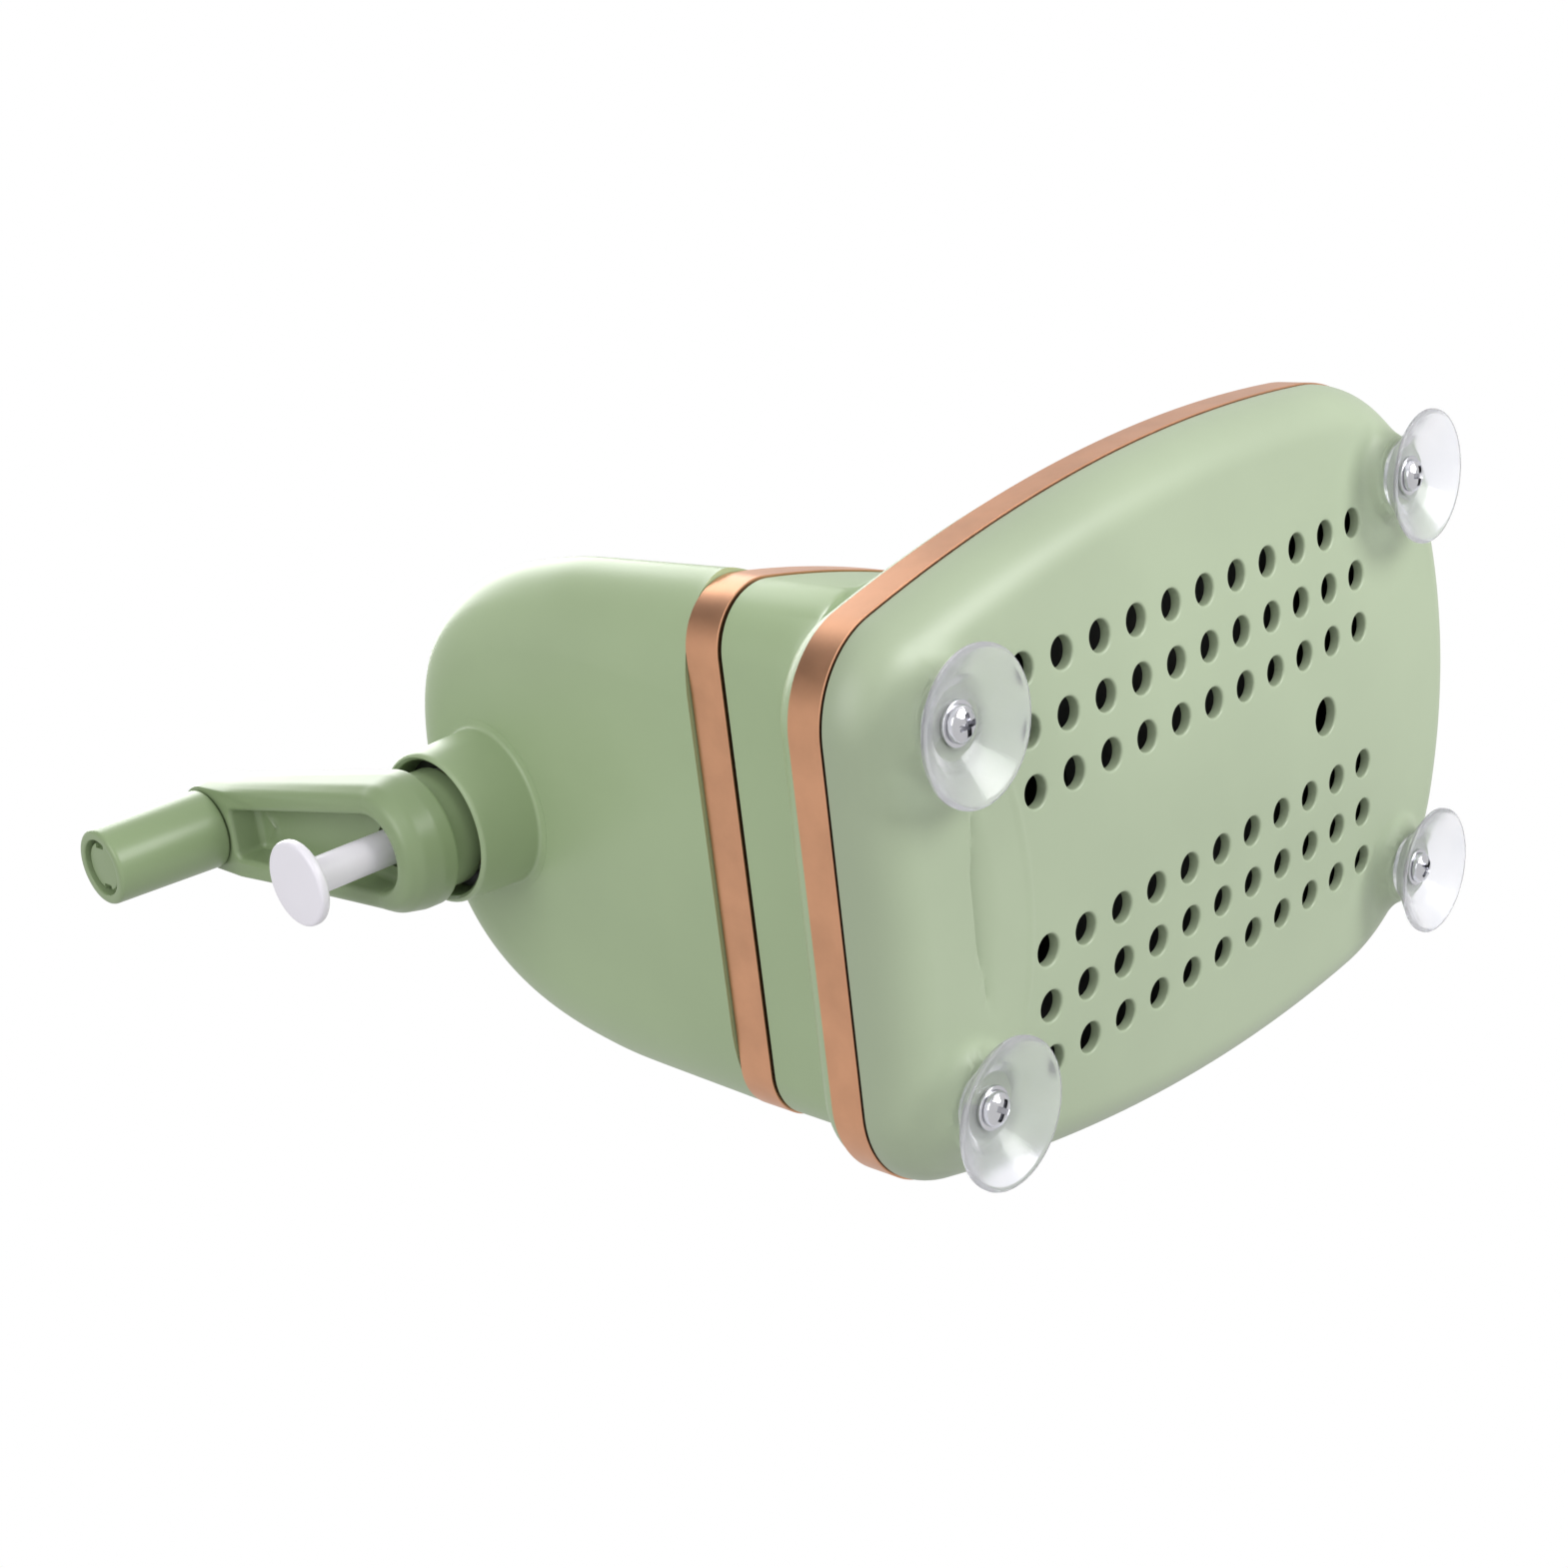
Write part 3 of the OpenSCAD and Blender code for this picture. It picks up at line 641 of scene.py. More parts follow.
vent_places = [(column * PITCH, side * (VENT_ROW_Y + row * PITCH), VENT_R)
               for column in range(-5, 6) for row in (-1, 0, 1) for side in (-1, 1)]
pegs = peg_board("pegs", [*vent_places, MIDDLE_HOLE], plate_height)
combine(pan, "DIFFERENCE", pegs)
print("vents cut:", len(vent_places) + 1)

# %% Add the bosses under the cups
BOSS_Z, BOSS_ROOT_Z = 7.5, 15.0
BOSS_EDGE = 0.9
WAY_TOP = 30.0
CUP_AXES = [(x, y, 0.0) for x, y in CUP_PLACES]

bosses = [bar(f"boss_{number}", BOSS_ROOT_Z, BOSS_Z, BOSS_R, axis_at, "z", 64, BOSS_EDGE)
          for number, axis_at in enumerate(CUP_AXES)]
combine(pan, "UNION", *bosses)
screw_ways = [bar(f"way_{number}", 0.0, WAY_TOP, CUP_HOLE_R, axis_at, "z", 32)
              for number, axis_at in enumerate(CUP_AXES)]
combine(pan, "DIFFERENCE", *screw_ways)
fit(pan, "base_pan", "pale_green")

# %% [markdown]
# ## The stand's upper shell
# Above the copper band the shell rolls over a rounded shoulder and sweeps up into the neck. It is
# one sheet of plastic, so its outer and inner skins form a single closed tube. The creases between
# the rings are relaxed a little, as a mould maker would blend them with a file. At the back corners
# the neck is nearly as wide as the base. So the room between the two is measured first, and the neck
# flares only where it has room: the plain shell in the frame leans out over the base there.

# %% Skin the shell
BASE_TRIM_H = 8.3
NECK_Z = BASE_TRIM_Z + BASE_TRIM_H
WAIST_Z = 59.8
WAIST_TRIM_H = 9.6
HEAD_Z = WAIST_Z + WAIST_TRIM_H
LEDGE = 1.1
SEAT_WIDTH = 10.0
SEAT_Z = HEAD_Z - 0.3
INSIDE = LEDGE + WALL
SHELL_ROWS, SHELL_PASSES = 64, 6
ROOM_FROM, ROOM_FULL = 1.0, 10.0
SHOULDER_INSET = 2.4
SHOULDER = ((0.0, 0.0), (0.12, 0.9), (0.6, 2.1), (1.5, 3.4), (2.9, 4.7))
FLARE = ((5.0, 6.4), (2.6, 9.5), (1.1, 15.0), (0.3, WAIST_Z - NECK_Z - 6.0), (0.0, WAIST_Z - NECK_Z - 0.3))


def clearance(line, edge):
    """How far each point of a line lies inside a closed edge. Negative means outside."""
    gaps = edge[None, :, :] - line[:, None, :]
    nearest = np.linalg.norm(gaps, axis=2).argmin(axis=1)
    along = np.roll(edge, -1, axis=0) - np.roll(edge, 1, axis=0)
    normal = np.stack([-along[:, 1], along[:, 0]], axis=1) / np.linalg.norm(along, axis=1)[:, None]
    return np.sum(gaps[np.arange(len(line)), nearest] * normal[nearest], axis=1)


ROOM = np.clip((clearance(plan(WAIST), plan(BASE, -SHOULDER_INSET)) - ROOM_FROM) / ROOM_FULL, 0.0, 1.0)


def flared(flare):
    """The waist outline flared outwards, but less where the base leaves it no room."""
    waist = plan(WAIST)
    return waist + ROOM[:, None] * (plan(WAIST, flare) - waist)


shoulder = [at_height(plan(BASE, -inset), NECK_Z + rise) for inset, rise in SHOULDER]
sweep_up = [at_height(flared(flare), NECK_Z + rise) for flare, rise in FLARE]
outer = softened(evened(np.array(shoulder + sweep_up), SHELL_ROWS), SHELL_PASSES)

# Outline, inset and height of each ring: the seat for the head, the inner wall, the foot
seat = [(WAIST, 0.35, WAIST_Z - 0.02), (WAIST, LEDGE, WAIST_Z), (WAIST, LEDGE, SEAT_Z),
        (WAIST, SEAT_WIDTH, SEAT_Z), (WAIST, SEAT_WIDTH, SEAT_Z - WALL)]
inner_wall = [(WAIST, 5.0, HEAD_Z - 0.6 - WALL), (WAIST, INSIDE, WAIST_Z - 6), (WAIST, 7.0, NECK_Z + 14),
              (WAIST, 9.0, NECK_Z + 5), (BASE, 10.0, NECK_Z + 1.5), (BASE, INSIDE, NECK_Z - 1)]
foot = [(BASE, INSIDE, BASE_TRIM_Z + 0.6), (BASE, LEDGE, BASE_TRIM_Z + 0.6), (BASE, LEDGE, NECK_Z - 0.05),
        (BASE, 0.3, NECK_Z - 0.02)]
closing = [at_height(plan(shape, -inset), z) for shape, inset, z in seat + inner_wall + foot]
shell = ring_stack("stand_shell", np.concatenate([outer, closing]), tube=True)
shell.data.materials.append(sage_plastic)
shell.data.materials.append(painted_inner_shade)
skin_points = {tuple(np.round(p, 5)) for p in in_metres(outer.reshape(-1, 3))}
# Faces off the outer skin and off the head's seat get the painted shade, which also darkens the seams under
# the bands
for face in shell.data.polygons:
    corners = [tuple(np.round(shell.data.vertices[v].co, 5)) for v in face.vertices]
    on_seat = face.normal.z > 0.9 and face.center.z / MM > HEAD_Z - 0.5
    face.material_index = int(not on_seat and not any(corner in skin_points for corner in corners))
fit(shell, "base_shell", "green")

# %% [markdown]
# ## The copper bands
# Two bands of satin copper hide the joints of the casing. Each is a thin strip bent round an outline,
# a hair proud of the plastic, with its edges just broken so that they catch a line of light. A fine
# seam is left under each band, as on any snapped-in trim; the painted shade on the shell's inner faces keeps
# it dark.

# %% Bend the bands
BAND_EDGE = 0.18
BAND_BEHIND = -0.9
BAND_SEAMS = {"base_trim": (0.42, 0.12), "waist_trim": (0.55, 0.2)}


def trim_band(name, node, shape, low, height):
    """A closed strip round an outline, with broken edges."""
    seam_low, seam_high = BAND_SEAMS[node]
    bottom, top = low + seam_low, low + height - seam_high
    section = [(BAND_BEHIND, bottom), (BAND_PROUD - BAND_EDGE, bottom), (BAND_PROUD, bottom + BAND_EDGE),
               (BAND_PROUD, (bottom + top) / 2), (BAND_PROUD, top - BAND_EDGE), (BAND_PROUD - BAND_EDGE, top),
               (BAND_BEHIND, top)]
    rows = [at_height(plan(shape, grow), z) for grow, z in section]
    return fit(ring_stack(name, rows, tube=True), node, "copper", copper_foil)


trim_band("base_band", "base_trim", BASE, BASE_TRIM_Z, BASE_TRIM_H)
trim_band("waist_band", "waist_trim", WAIST, WAIST_Z, WAIST_TRIM_H)

# %% [markdown]
# ## The head
# The head is a deep arch: a flat back that leans forward a little, a broad rounding, then flanks that
# close in towards the front. It could be carved from a box, but rings that follow the arch keep the
# reflections calm. Each ring is the same arch pushed outwards along its own normals, and the lines
# from back to front are then evened out and relaxed.

# %% The arch and its rings
HEAD_BACK = -89.9
BACK_LEAN = 0.06
ARCH = dict(half=40.4, rise=52.4, power=2.834, foot=110.8, taper=0.094)
ROUND_OUT = (22.8, 12.2)
ROUND_DEEP = (15.0, 9.0)
HEAD_FRONT = -9.0
FRONT_HALF = 34.0
FRONT_ROUND = 4.0
CROWN_Z = ARCH["foot"] + ARCH["rise"] + ROUND_OUT[1]
LEG_POINTS, ARCH_POINTS, FOOT_POINTS = 16, 110, 30
ARCH_PASSES = 8


def arch(half, rise, power, foot, taper):
    """An arch as (y, z) points: one leg up, a squarish arch, the other leg down."""
    turn = np.radians(np.linspace(0, 180, 721))
    top = np.stack([-np.sign(np.cos(turn)) * half * np.abs(np.cos(turn)) ** (2 / power),
                    foot + rise * np.abs(np.sin(turn)) ** (2 / power)], axis=1)
    leg_z = np.linspace(HEAD_Z, foot, LEG_POINTS, endpoint=False)
    leg = np.stack([-half + taper * (foot - leg_z), leg_z], axis=1)
    line = np.vstack([leg, spaced(top, ARCH_POINTS), leg[::-1] * (-1, 1)])
    return softened(line, ARCH_PASSES)


def outward(line):
    """Unit normals of a (y, z) line, pointing out of the arch."""
    step = np.gradient(line, axis=0)
    normal = np.stack([-step[:, 1], step[:, 0]], axis=1)
    return normal / np.linalg.norm(normal, axis=1)[:, None]


def closed_below(ring):
    """A ring with a straight run of points from its last foot back to its first."""
    share = np.linspace(0, 1, FOOT_POINTS + 2)[1:-1, None]
    return np.vstack([ring, ring[-1] + share * (ring[0] - ring[-1])])


BACK_ARCH = arch(**ARCH)


def back_ring(turn):
    """One ring of the rounding, from the flat back at 0 to the flank at 90 degrees."""
    up = (BACK_ARCH[:, 1] - HEAD_Z) / (ARCH["foot"] + ARCH["rise"] - HEAD_Z)
    out = ROUND_OUT[0] + (ROUND_OUT[1] - ROUND_OUT[0]) * up
    deep = ROUND_DEEP[0] + (ROUND_DEEP[1] - ROUND_DEEP[0]) * up
    place = BACK_ARCH + outward(BACK_ARCH) * (out * math.sin(turn))[:, None]
    place[[0, -1], 1] = HEAD_Z
    x = HEAD_BACK + BACK_LEAN * (BACK_ARCH[:, 1] - HEAD_Z) + deep * (1 - math.cos(turn))
    return closed_below(np.column_stack([x, place]))


def front_ring(turn):
    """One ring of the small rounding at the front, from the flank at 90 to the flat at 0 degrees."""
    half = FRONT_HALF - FRONT_ROUND * (1 - math.sin(turn))
    line = arch(half, half, 2.0, CROWN_Z - FRONT_HALF, 0.0)
    x = HEAD_FRONT - FRONT_ROUND * (1 - math.cos(turn))
    return closed_below(np.column_stack([np.full(len(line), x), line]))


def head_back_x(z):
    """Where the flat back of the head lies at a height."""
    return HEAD_BACK + BACK_LEAN * (z - HEAD_Z)


def face_rings(edge, centre, shares):
    """Flat rings that fill the inside of an edge ring, shrinking towards a centre."""
    return [centre + share * (edge - centre) for share in shares]


# %% Skin the head
back_turns = np.radians(np.arange(0, 91, 5))
front_turns = np.radians(np.arange(90, -1, -15))
FACE_SHARES = (0.0, 0.2, 0.4, 0.6, 0.75, 0.88, 0.95, 0.985)
HEAD_ROWS, HEAD_PASSES = 96, 7
BACK_CENTRE_Z, FRONT_CENTRE_Z = 110.0, 125.0

flank = np.array([back_ring(turn) for turn in back_turns] + [front_ring(turn) for turn in front_turns])
flank = softened(evened(flank, HEAD_ROWS), HEAD_PASSES)
back_centre = np.array([head_back_x(BACK_CENTRE_Z), 0.0, BACK_CENTRE_Z])
front_centre = np.array([HEAD_FRONT, 0.0, FRONT_CENTRE_Z])
back_face = face_rings(flank[0], back_centre, FACE_SHARES)
front_face = face_rings(flank[-1], front_centre, FACE_SHARES[::-1])
head = ring_stack("head", np.concatenate([back_face, flank, front_face]))
print("head skinned with", len(head.data.polygons), "faces")

# %% [markdown]
# ## The crank boss
# A round boss stands out of the head's back and shelters the crank's bearing. Its foot flows into the
# leaning back through a small fillet, so its first rings lean with the back and its last ones stand
# upright. After it is joined on, one stepped tool bores the recess, the neck and the barrel's tunnel.

# %% Join the boss and bore the head
BOSS_FOOT_R, BOSS_LOW_R, BOSS_TIP_R = 20.4, 18.3, 17.5
BOSS_TIP = -102.0
BOSS_SUNK = -3.0
BOSS_FILLET, BOSS_LIP = 1.9, 1.3
LEAN_FADE = 9.0
BORE_START, BORE_END = -112.0, 20.0
MOUTH_R = 16.7
RECESS_R, RECESS_X = 15.8, -95.0
NECK_R = 12.7
TUNNEL_R, TUNNEL_X = 21.7, -62.3
THROAT_X, THROAT_R = -32.0, 18.7
THROAT_WAY_TOP, THROAT_WAY_LOW = 190.0, 150.0
CRANK_AXIS = (0.0, 0.0, AXIS_Z)
THROAT_AXIS = (THROAT_X, 0.0, 0.0)

boss_reach = head_back_x(AXIS_Z) - BOSS_TIP
boss_corners = [(BOSS_SUNK, 0.0, 0), (BOSS_SUNK, BOSS_FOOT_R, 0), (0.06, BOSS_FOOT_R, 0),
                (0.12, BOSS_LOW_R, BOSS_FILLET), (boss_reach, BOSS_TIP_R, BOSS_LIP), (boss_reach, 0.0, 0)]
boss_rows = np.array(turned_rows(rounded(boss_corners, 8), CRANK_AXIS, "x", FINE))
lean_share = np.clip(1 - boss_rows[..., 0] / LEAN_FADE, 0, 1)
lean = lean_share * BACK_LEAN * (boss_rows[..., 2] - AXIS_Z)
boss_rows[..., 0] = head_back_x(AXIS_Z) - boss_rows[..., 0] + lean
head_boss = ring_stack("head_boss", boss_rows[::-1])
combine(head, "UNION", head_boss)

bore_corners = [(BORE_START, 0.0, 0), (BORE_START, MOUTH_R, 0), (BOSS_TIP - 0.01, MOUTH_R, 0),
                (BOSS_TIP + 0.8, RECESS_R, 0.8), (RECESS_X, RECESS_R, 0.5), (RECESS_X, NECK_R, 0.3),
                (TUNNEL_X, NECK_R, 0), (TUNNEL_X, TUNNEL_R, 0), (BORE_END, TUNNEL_R, 0), (BORE_END, 0.0, 0)]
bore = turned("bore", bore_corners, CRANK_AXIS, "x", ROUND)
throat_way = bar("throat_way", THROAT_WAY_TOP, THROAT_WAY_LOW, THROAT_R, THROAT_AXIS, "z")
combine(head, "DIFFERENCE", bore, throat_way)
fit(head, "head_shell", "green", sage_plastic)

# %% [markdown]
# ## The crank arm
# The arm is a drop shape: a big hub, a smaller end for the grip, and straight sides tangent to both.
# Its outside swells softly, and its front holds a long pocket whose floor climbs towards the grip.
# Both outlines have the same number of points, so one stack of rings can run from the back, over the
# swollen side, over the rim and down into the pocket, and the pocket needs no cut of its own.

# %% Outlines of the arm
CRANK_R = 52.4
GRIP_Z = AXIS_Z + CRANK_R
HUB_STEPS, SIDE_STEPS, END_STEPS = 72, 30, 44
POCKET_R, POCKET_HALF, POCKET_TOP = 8.8, 5.8, 187.9
POCKET_CORNER, CORNER_POINTS = 1.6, 12
SEAT_SHARE = 0.8
GRIP_AXIS = (0.0, 0.0, GRIP_Z)


def joined_ends(hub, end):
    """A closed outline of two ends and the straight sides between them."""
    share = np.linspace(0, 1, SIDE_STEPS + 2)[1:-1, None]
    return np.vstack([hub, hub[-1] + share * (end[0] - hub[-1]), end, end[-1] + share * (hub[0] - end[-1])])


def drop_outline(hub_r, end_r):
    """The arm's outline as (y, z, share) points, where share runs from 0 at the hub to 1 at the end."""
    lean = math.acos((hub_r - end_r) / CRANK_R)
    hub_turn = np.linspace(lean, 2 * math.pi - lean, HUB_STEPS)
    end_turn = np.linspace(-lean, lean, END_STEPS)
    hub = np.stack([hub_r * np.sin(hub_turn), AXIS_Z + hub_r * np.cos(hub_turn), 0 * hub_turn], axis=1)
    end = np.stack([end_r * np.sin(end_turn), GRIP_Z + end_r * np.cos(end_turn), 0 * end_turn + 1], axis=1)
    return joined_ends(hub, end)


def pocket_outline(grow):
    """The pocket's outline, point for point beside the arm's outline."""
    radius, half = POCKET_R + grow, POCKET_HALF + grow
    top, corner = POCKET_TOP + grow, POCKET_CORNER + grow
    hub_turn = np.linspace(0.5 * math.pi, 1.5 * math.pi, HUB_STEPS)
    hub = np.stack([radius * np.sin(hub_turn), AXIS_Z + radius * np.cos(hub_turn)], axis=1)
    quarter = np.linspace(0, 0.5 * math.pi, CORNER_POINTS)
    left = np.stack([-half + corner * (1 - np.cos(quarter)), top - corner * (1 - np.sin(quarter))], axis=1)
    end = spaced(np.vstack([left, left[::-1] * (-1, 1)]), END_STEPS)
    line = joined_ends(hub, end)
    return np.column_stack([line, np.clip((line[:, 1] - AXIS_Z) / CRANK_R, 0, 1)])


def eased(share, start=0.0, end=SEAT_SHARE):
    """0 before start, 1 after end, straight between them."""
    return np.clip((share - start) / (end - start), 0, 1)


def arm_ring(outline, hub_x, end_x, start=0.0):
    """A ring of the arm whose depth runs from hub_x at the hub to end_x at the end."""
    climb = eased(outline[:, 2], start)
    return np.column_stack([hub_x + (end_x - hub_x) * climb, outline[:, :2]])


def drawn_in(edge, top, shares):
    """Rings between an edge and the line up the arm's middle, which ends at a height."""
    middle = np.column_stack([edge[:, 0], 0 * edge[:, 1], np.clip(edge[:, 2], AXIS_Z, top)])
    return [middle + share * (edge - middle) for share in shares]


# %% Skin the arm
HUB_SIDE = ((14.9, -107.3, 0), (15.8, -107.3, 0.7), (15.75, -111.0, 4), (14.8, -115.6, 4),
            (12.9, -118.6, 3), (10.8, -119.1, 0))
END_SIDE = ((10.7, -118.0, 0), (11.4, -118.0, 0.5), (11.15, -120.6, 1), (10.6, -124.4, 1),
            (10.0, -126.9, 0.8), (9.5, -126.9, 0))
SIDE_ROWS = 40
FLOOR_X, RAMP_X, FLOOR_TOP = -113.2, -119.5, 182.0
FLOOR_DRAFT, RAMP_FROM = 0.25, 0.16
FLOOR_TURNS = np.radians(np.arange(0, 91, 18))
RIM_ROUND, FLOOR_ROUND = 1.3, 1.4

hub_line, end_line = (spaced(rounded(side, 6), SIDE_ROWS) for side in (HUB_SIDE, END_SIDE))
back_edge = arm_ring(drop_outline(hub_line[0, 0], end_line[0, 0]), hub_line[0, 1], end_line[0, 1])
arm_rows = drawn_in(back_edge, GRIP_Z, (0.0, 0.5, 0.9))
arm_rows += [arm_ring(drop_outline(hub[0], end[0]), hub[1], end[1]) for hub, end in zip(hub_line, end_line)]

for turn in QUARTER:
    grow, sink = RIM_ROUND * (1 - math.sin(turn)), RIM_ROUND * (1 - math.cos(turn))
    arm_rows.append(arm_ring(pocket_outline(grow), hub_line[-1, 1] + sink, end_line[-1, 1] + sink))
for turn in FLOOR_TURNS:
    inset = FLOOR_ROUND * (1 - math.cos(turn)) + FLOOR_DRAFT
    lift = FLOOR_ROUND * (1 - math.sin(turn))
    arm_rows.append(arm_ring(pocket_outline(-inset), FLOOR_X - lift, RAMP_X - lift, RAMP_FROM))
arm_rows += drawn_in(arm_rows[-1], FLOOR_TOP, (0.8, 0.4, 0.0))
arm = ring_stack("crank_arm_skin", np.array(arm_rows)[::-1])

# %% Add the sleeve, the socket and the holes
SLEEVE_R, SLEEVE_ROOT, SLEEVE_END = 13.5, -109.0, -99.0
SOCKET_HALF, SOCKET_BACK, SOCKET_FRONT = 5.55, -111.3, -96.0
PIN_HOLE_R, PIN_HOLE_FROM = 5.0, -126.0
AXLE_HOLE_R, AXLE_HOLE_FROM, AXLE_HOLE_TO = 3.52, -130.0, -119.5

sleeve = bar("sleeve", SLEEVE_ROOT, SLEEVE_END, SLEEVE_R, CRANK_AXIS, edge=0.5)
combine(arm, "UNION", sleeve)
socket = block("socket", (SOCKET_BACK, -SOCKET_HALF, AXIS_Z - SOCKET_HALF),
               (SOCKET_FRONT, SOCKET_HALF, AXIS_Z + SOCKET_HALF))
pin_way = bar("pin_way", PIN_HOLE_FROM, SLEEVE_ROOT, PIN_HOLE_R, CRANK_AXIS, "x", 48)
axle_way = bar("axle_way", AXLE_HOLE_FROM, AXLE_HOLE_TO, AXLE_HOLE_R, GRIP_AXIS, "x", 48)
combine(arm, "DIFFERENCE", socket, pin_way, axle_way)
# The arm wears the darker crank plastic, which is painted shade
fit(arm, "crank_arm", "green", crank_painted_shade)

# %% [markdown]
# ## Grip, axle and locking pin
# The grip is a short tube that tapers away from the arm, with a shallow well in its end. The plug in
# the well holds it on its axle, and two small notches take the tool that presses the plug in. The
# white locking pin has a broad flat head for the thumb. All are turned, then the notches are cut.

# %% Turn the grip and its plug
SEAT_X = -126.9
GRIP_X = SEAT_X - 0.4
GRIP_END = GRIP_X - 27.5
WELL_R, WELL_DEPTH = 6.5, 2.8
GRIP_ROOT_R, GRIP_END_R = 9.3, 8.75
PLUG_R, PLUG_H = 5.6, 1.6
NOTCH_Y, NOTCH_DEPTH = 5.0, 1.2
NOTCH_WIDE, NOTCH_LONG = 0.75, 1.5
AXLE_R, AXLE_TIP = 3.5, -119.6

grip_bore = AXLE_R + 0.06
grip_corners = [(GRIP_X, grip_bore, 0), (GRIP_X, GRIP_ROOT_R, 0.7), (GRIP_END, GRIP_END_R, 1.3),
                (GRIP_END, WELL_R, 0.5), (GRIP_END + WELL_DEPTH, WELL_R - 0.1, 0.4),
                (GRIP_END + WELL_DEPTH, grip_bore, 0), (GRIP_X, grip_bore, 0)]
grip = turned("grip_skin", grip_corners, GRIP_AXIS, "x", ROUND, ring=True)
fit(grip, "grip", "pale_green", crank_painted_shade)

plug_face = GRIP_END + 0.9
plug_back = plug_face + PLUG_H
plug_corners = [(plug_face, 0.0, 0), (plug_face, PLUG_R, 0.5), (plug_back, PLUG_R, 0.2),
                (plug_back, AXLE_R, 0), (AXLE_TIP, AXLE_R, 0.3), (AXLE_TIP, 0.0, 0)]
plug = turned("grip_plug", plug_corners, GRIP_AXIS, "x", ROUND)
notches = []
for side in (-1, 1):
    low = (plug_face - 1, side * NOTCH_Y - NOTCH_WIDE, GRIP_Z - NOTCH_LONG)
    high = (plug_face + NOTCH_DEPTH, side * NOTCH_Y + NOTCH_WIDE, GRIP_Z + NOTCH_LONG)
    notches.append(block(f"notch_{side}", low, high))
combine(plug, "DIFFERENCE", *notches)
fit(plug, "grip_axle", "steel", crank_painted_shade, bright_steel)
for face in plug.data.polygons:
    face.material_index = int((face.center.x / MM - VENTS_X) > plug_face + 1.7)

# %% Turn the locking pin
PIN_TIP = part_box("locking_pin")[1].x / MM - VENTS_X
PIN_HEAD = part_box("locking_pin")[0].x / MM - VENTS_X
PIN_R, PIN_HEAD_R, PIN_HEAD_H = 4.0, 9.6, 2.4
DISH_R = 5.0

under_head = PIN_HEAD + PIN_HEAD_H
pin_corners = [(PIN_HEAD + 0.15, 0.0, 0), (PIN_HEAD, DISH_R, 2), (PIN_HEAD + 0.05, PIN_HEAD_R, 1.0),
               (under_head, PIN_HEAD_R, 0.9), (under_head, PIN_R, 0.8), (PIN_TIP, PIN_R, 0.8),
               (PIN_TIP, 0.0, 0)]
fit(turned("pin", pin_corners, CRANK_AXIS, "x", ROUND), "locking_pin", "white", white_plastic)

# %% [markdown]
# ## Suction cups, washers and screws
# Each cup is a thin skirt of clear vinyl that hangs from a thick middle. A washer and a plated screw
# hold it to its boss. Clear things show both their surfaces, so the cup has a true thickness, thin
# at the skirt and thick in the middle. The screw's cross is cut with two tapered bars.

# %% Make the cups
CUP_R = 15.0
CUP_CORNERS = [(5.2, 2.3, 0), (5.2, 6.2, 0.6), (3.9, 8.3, 2.5), (0.0, 14.1, 1.5), (0.0, CUP_R, 0.12),
               (0.65, CUP_R, 0.2), (4.9, 9.5, 3.5), (7.3, 7.3, 0.7), (7.3, 2.3, 0), (5.2, 2.3, 0)]
WASHER_CORNERS = [(4.4, 2.3, 0.1), (4.4, 4.4, 0.25), (5.15, 4.4, 0.15), (5.15, 2.3, 0.1), (4.4, 2.3, 0)]


def joined(name, parts):
    """Several pieces as one object, their meshes side by side."""
    points, faces = [], []
    for part in parts:
        start = len(points)
        points.extend(corner.co / MM - Vector((VENTS_X, 0, 0)) for corner in part.data.vertices)
        faces.extend([start + v for v in face.vertices] for face in part.data.polygons)
        bpy.data.objects.remove(part)
    return new_piece(name, np.array(points), faces)


cups = [turned(f"cup_{n}", CUP_CORNERS, place, "z", ROUND, ring=True) for n, place in enumerate(CUP_AXES)]
fit(joined("cups", cups), "suction_cups", "clear_soft", vinyl)
washers = [turned(f"washer_{n}", WASHER_CORNERS, place, "z", 64, ring=True)
           for n, place in enumerate(CUP_AXES)]
fit(joined("washers", washers), "cup_washers", "steel", bright_steel)

# %% Make the screws
SCREW_HEAD_R, SCREW_HEAD_Z = 3.65, (2.2, 4.35)
SCREW_R, SCREW_TOP = 1.65, 26.3
CROSS_HALF, CROSS_REACH, CROSS_DEPTH = 0.62, 2.5, 1.7
CROSS_TAPER = 0.7
FIRST_TURN, NEXT_TURN = 0.6, 0.9


def cross_wedge(name, x, y, turn):
    """One bar of the cross recess, wide where the driver enters and narrow at its bottom."""
    points = []
    for z, shrink in ((SCREW_HEAD_Z[0] - 0.5, 1.0), (SCREW_HEAD_Z[0] + CROSS_DEPTH, CROSS_TAPER)):
        for side_x, side_y in ((-1, -1), (1, -1), (1, 1), (-1, 1)):
            along, across = side_x * CROSS_REACH * shrink, side_y * CROSS_HALF * (0.6 + 0.4 * shrink)
            points.append((x + along * math.cos(turn) - across * math.sin(turn),
                           y + along * math.sin(turn) + across * math.cos(turn), z))
    faces = [(3, 2, 1, 0), (4, 5, 6, 7), (0, 1, 5, 4), (1, 2, 6, 5), (2, 3, 7, 6), (3, 0, 4, 7)]
    return new_piece(name, points, faces)


def cup_screw(number, x, y):
    """A pan-head screw, head down, with a cross recess turned by its own amount."""
    low, high = SCREW_HEAD_Z
    corners = [(low, 0.0, 0), (low + 0.12, 1.9, 2.0), (low + 1.0, SCREW_HEAD_R - 0.2, 0.9),
               (high, SCREW_HEAD_R, 0.15), (high, SCREW_R, 0), (SCREW_TOP, SCREW_R, 0.8), (SCREW_TOP, 0.0, 0)]
    screw = turned(f"screw_{number}", corners, (x, y, 0.0), "z", 64)
    turn = FIRST_TURN + NEXT_TURN * number
    wedges = [cross_wedge(f"wedge_{k}", x, y, turn + k * math.pi / 2) for k in range(2)]
    return combine(screw, "DIFFERENCE", *wedges)


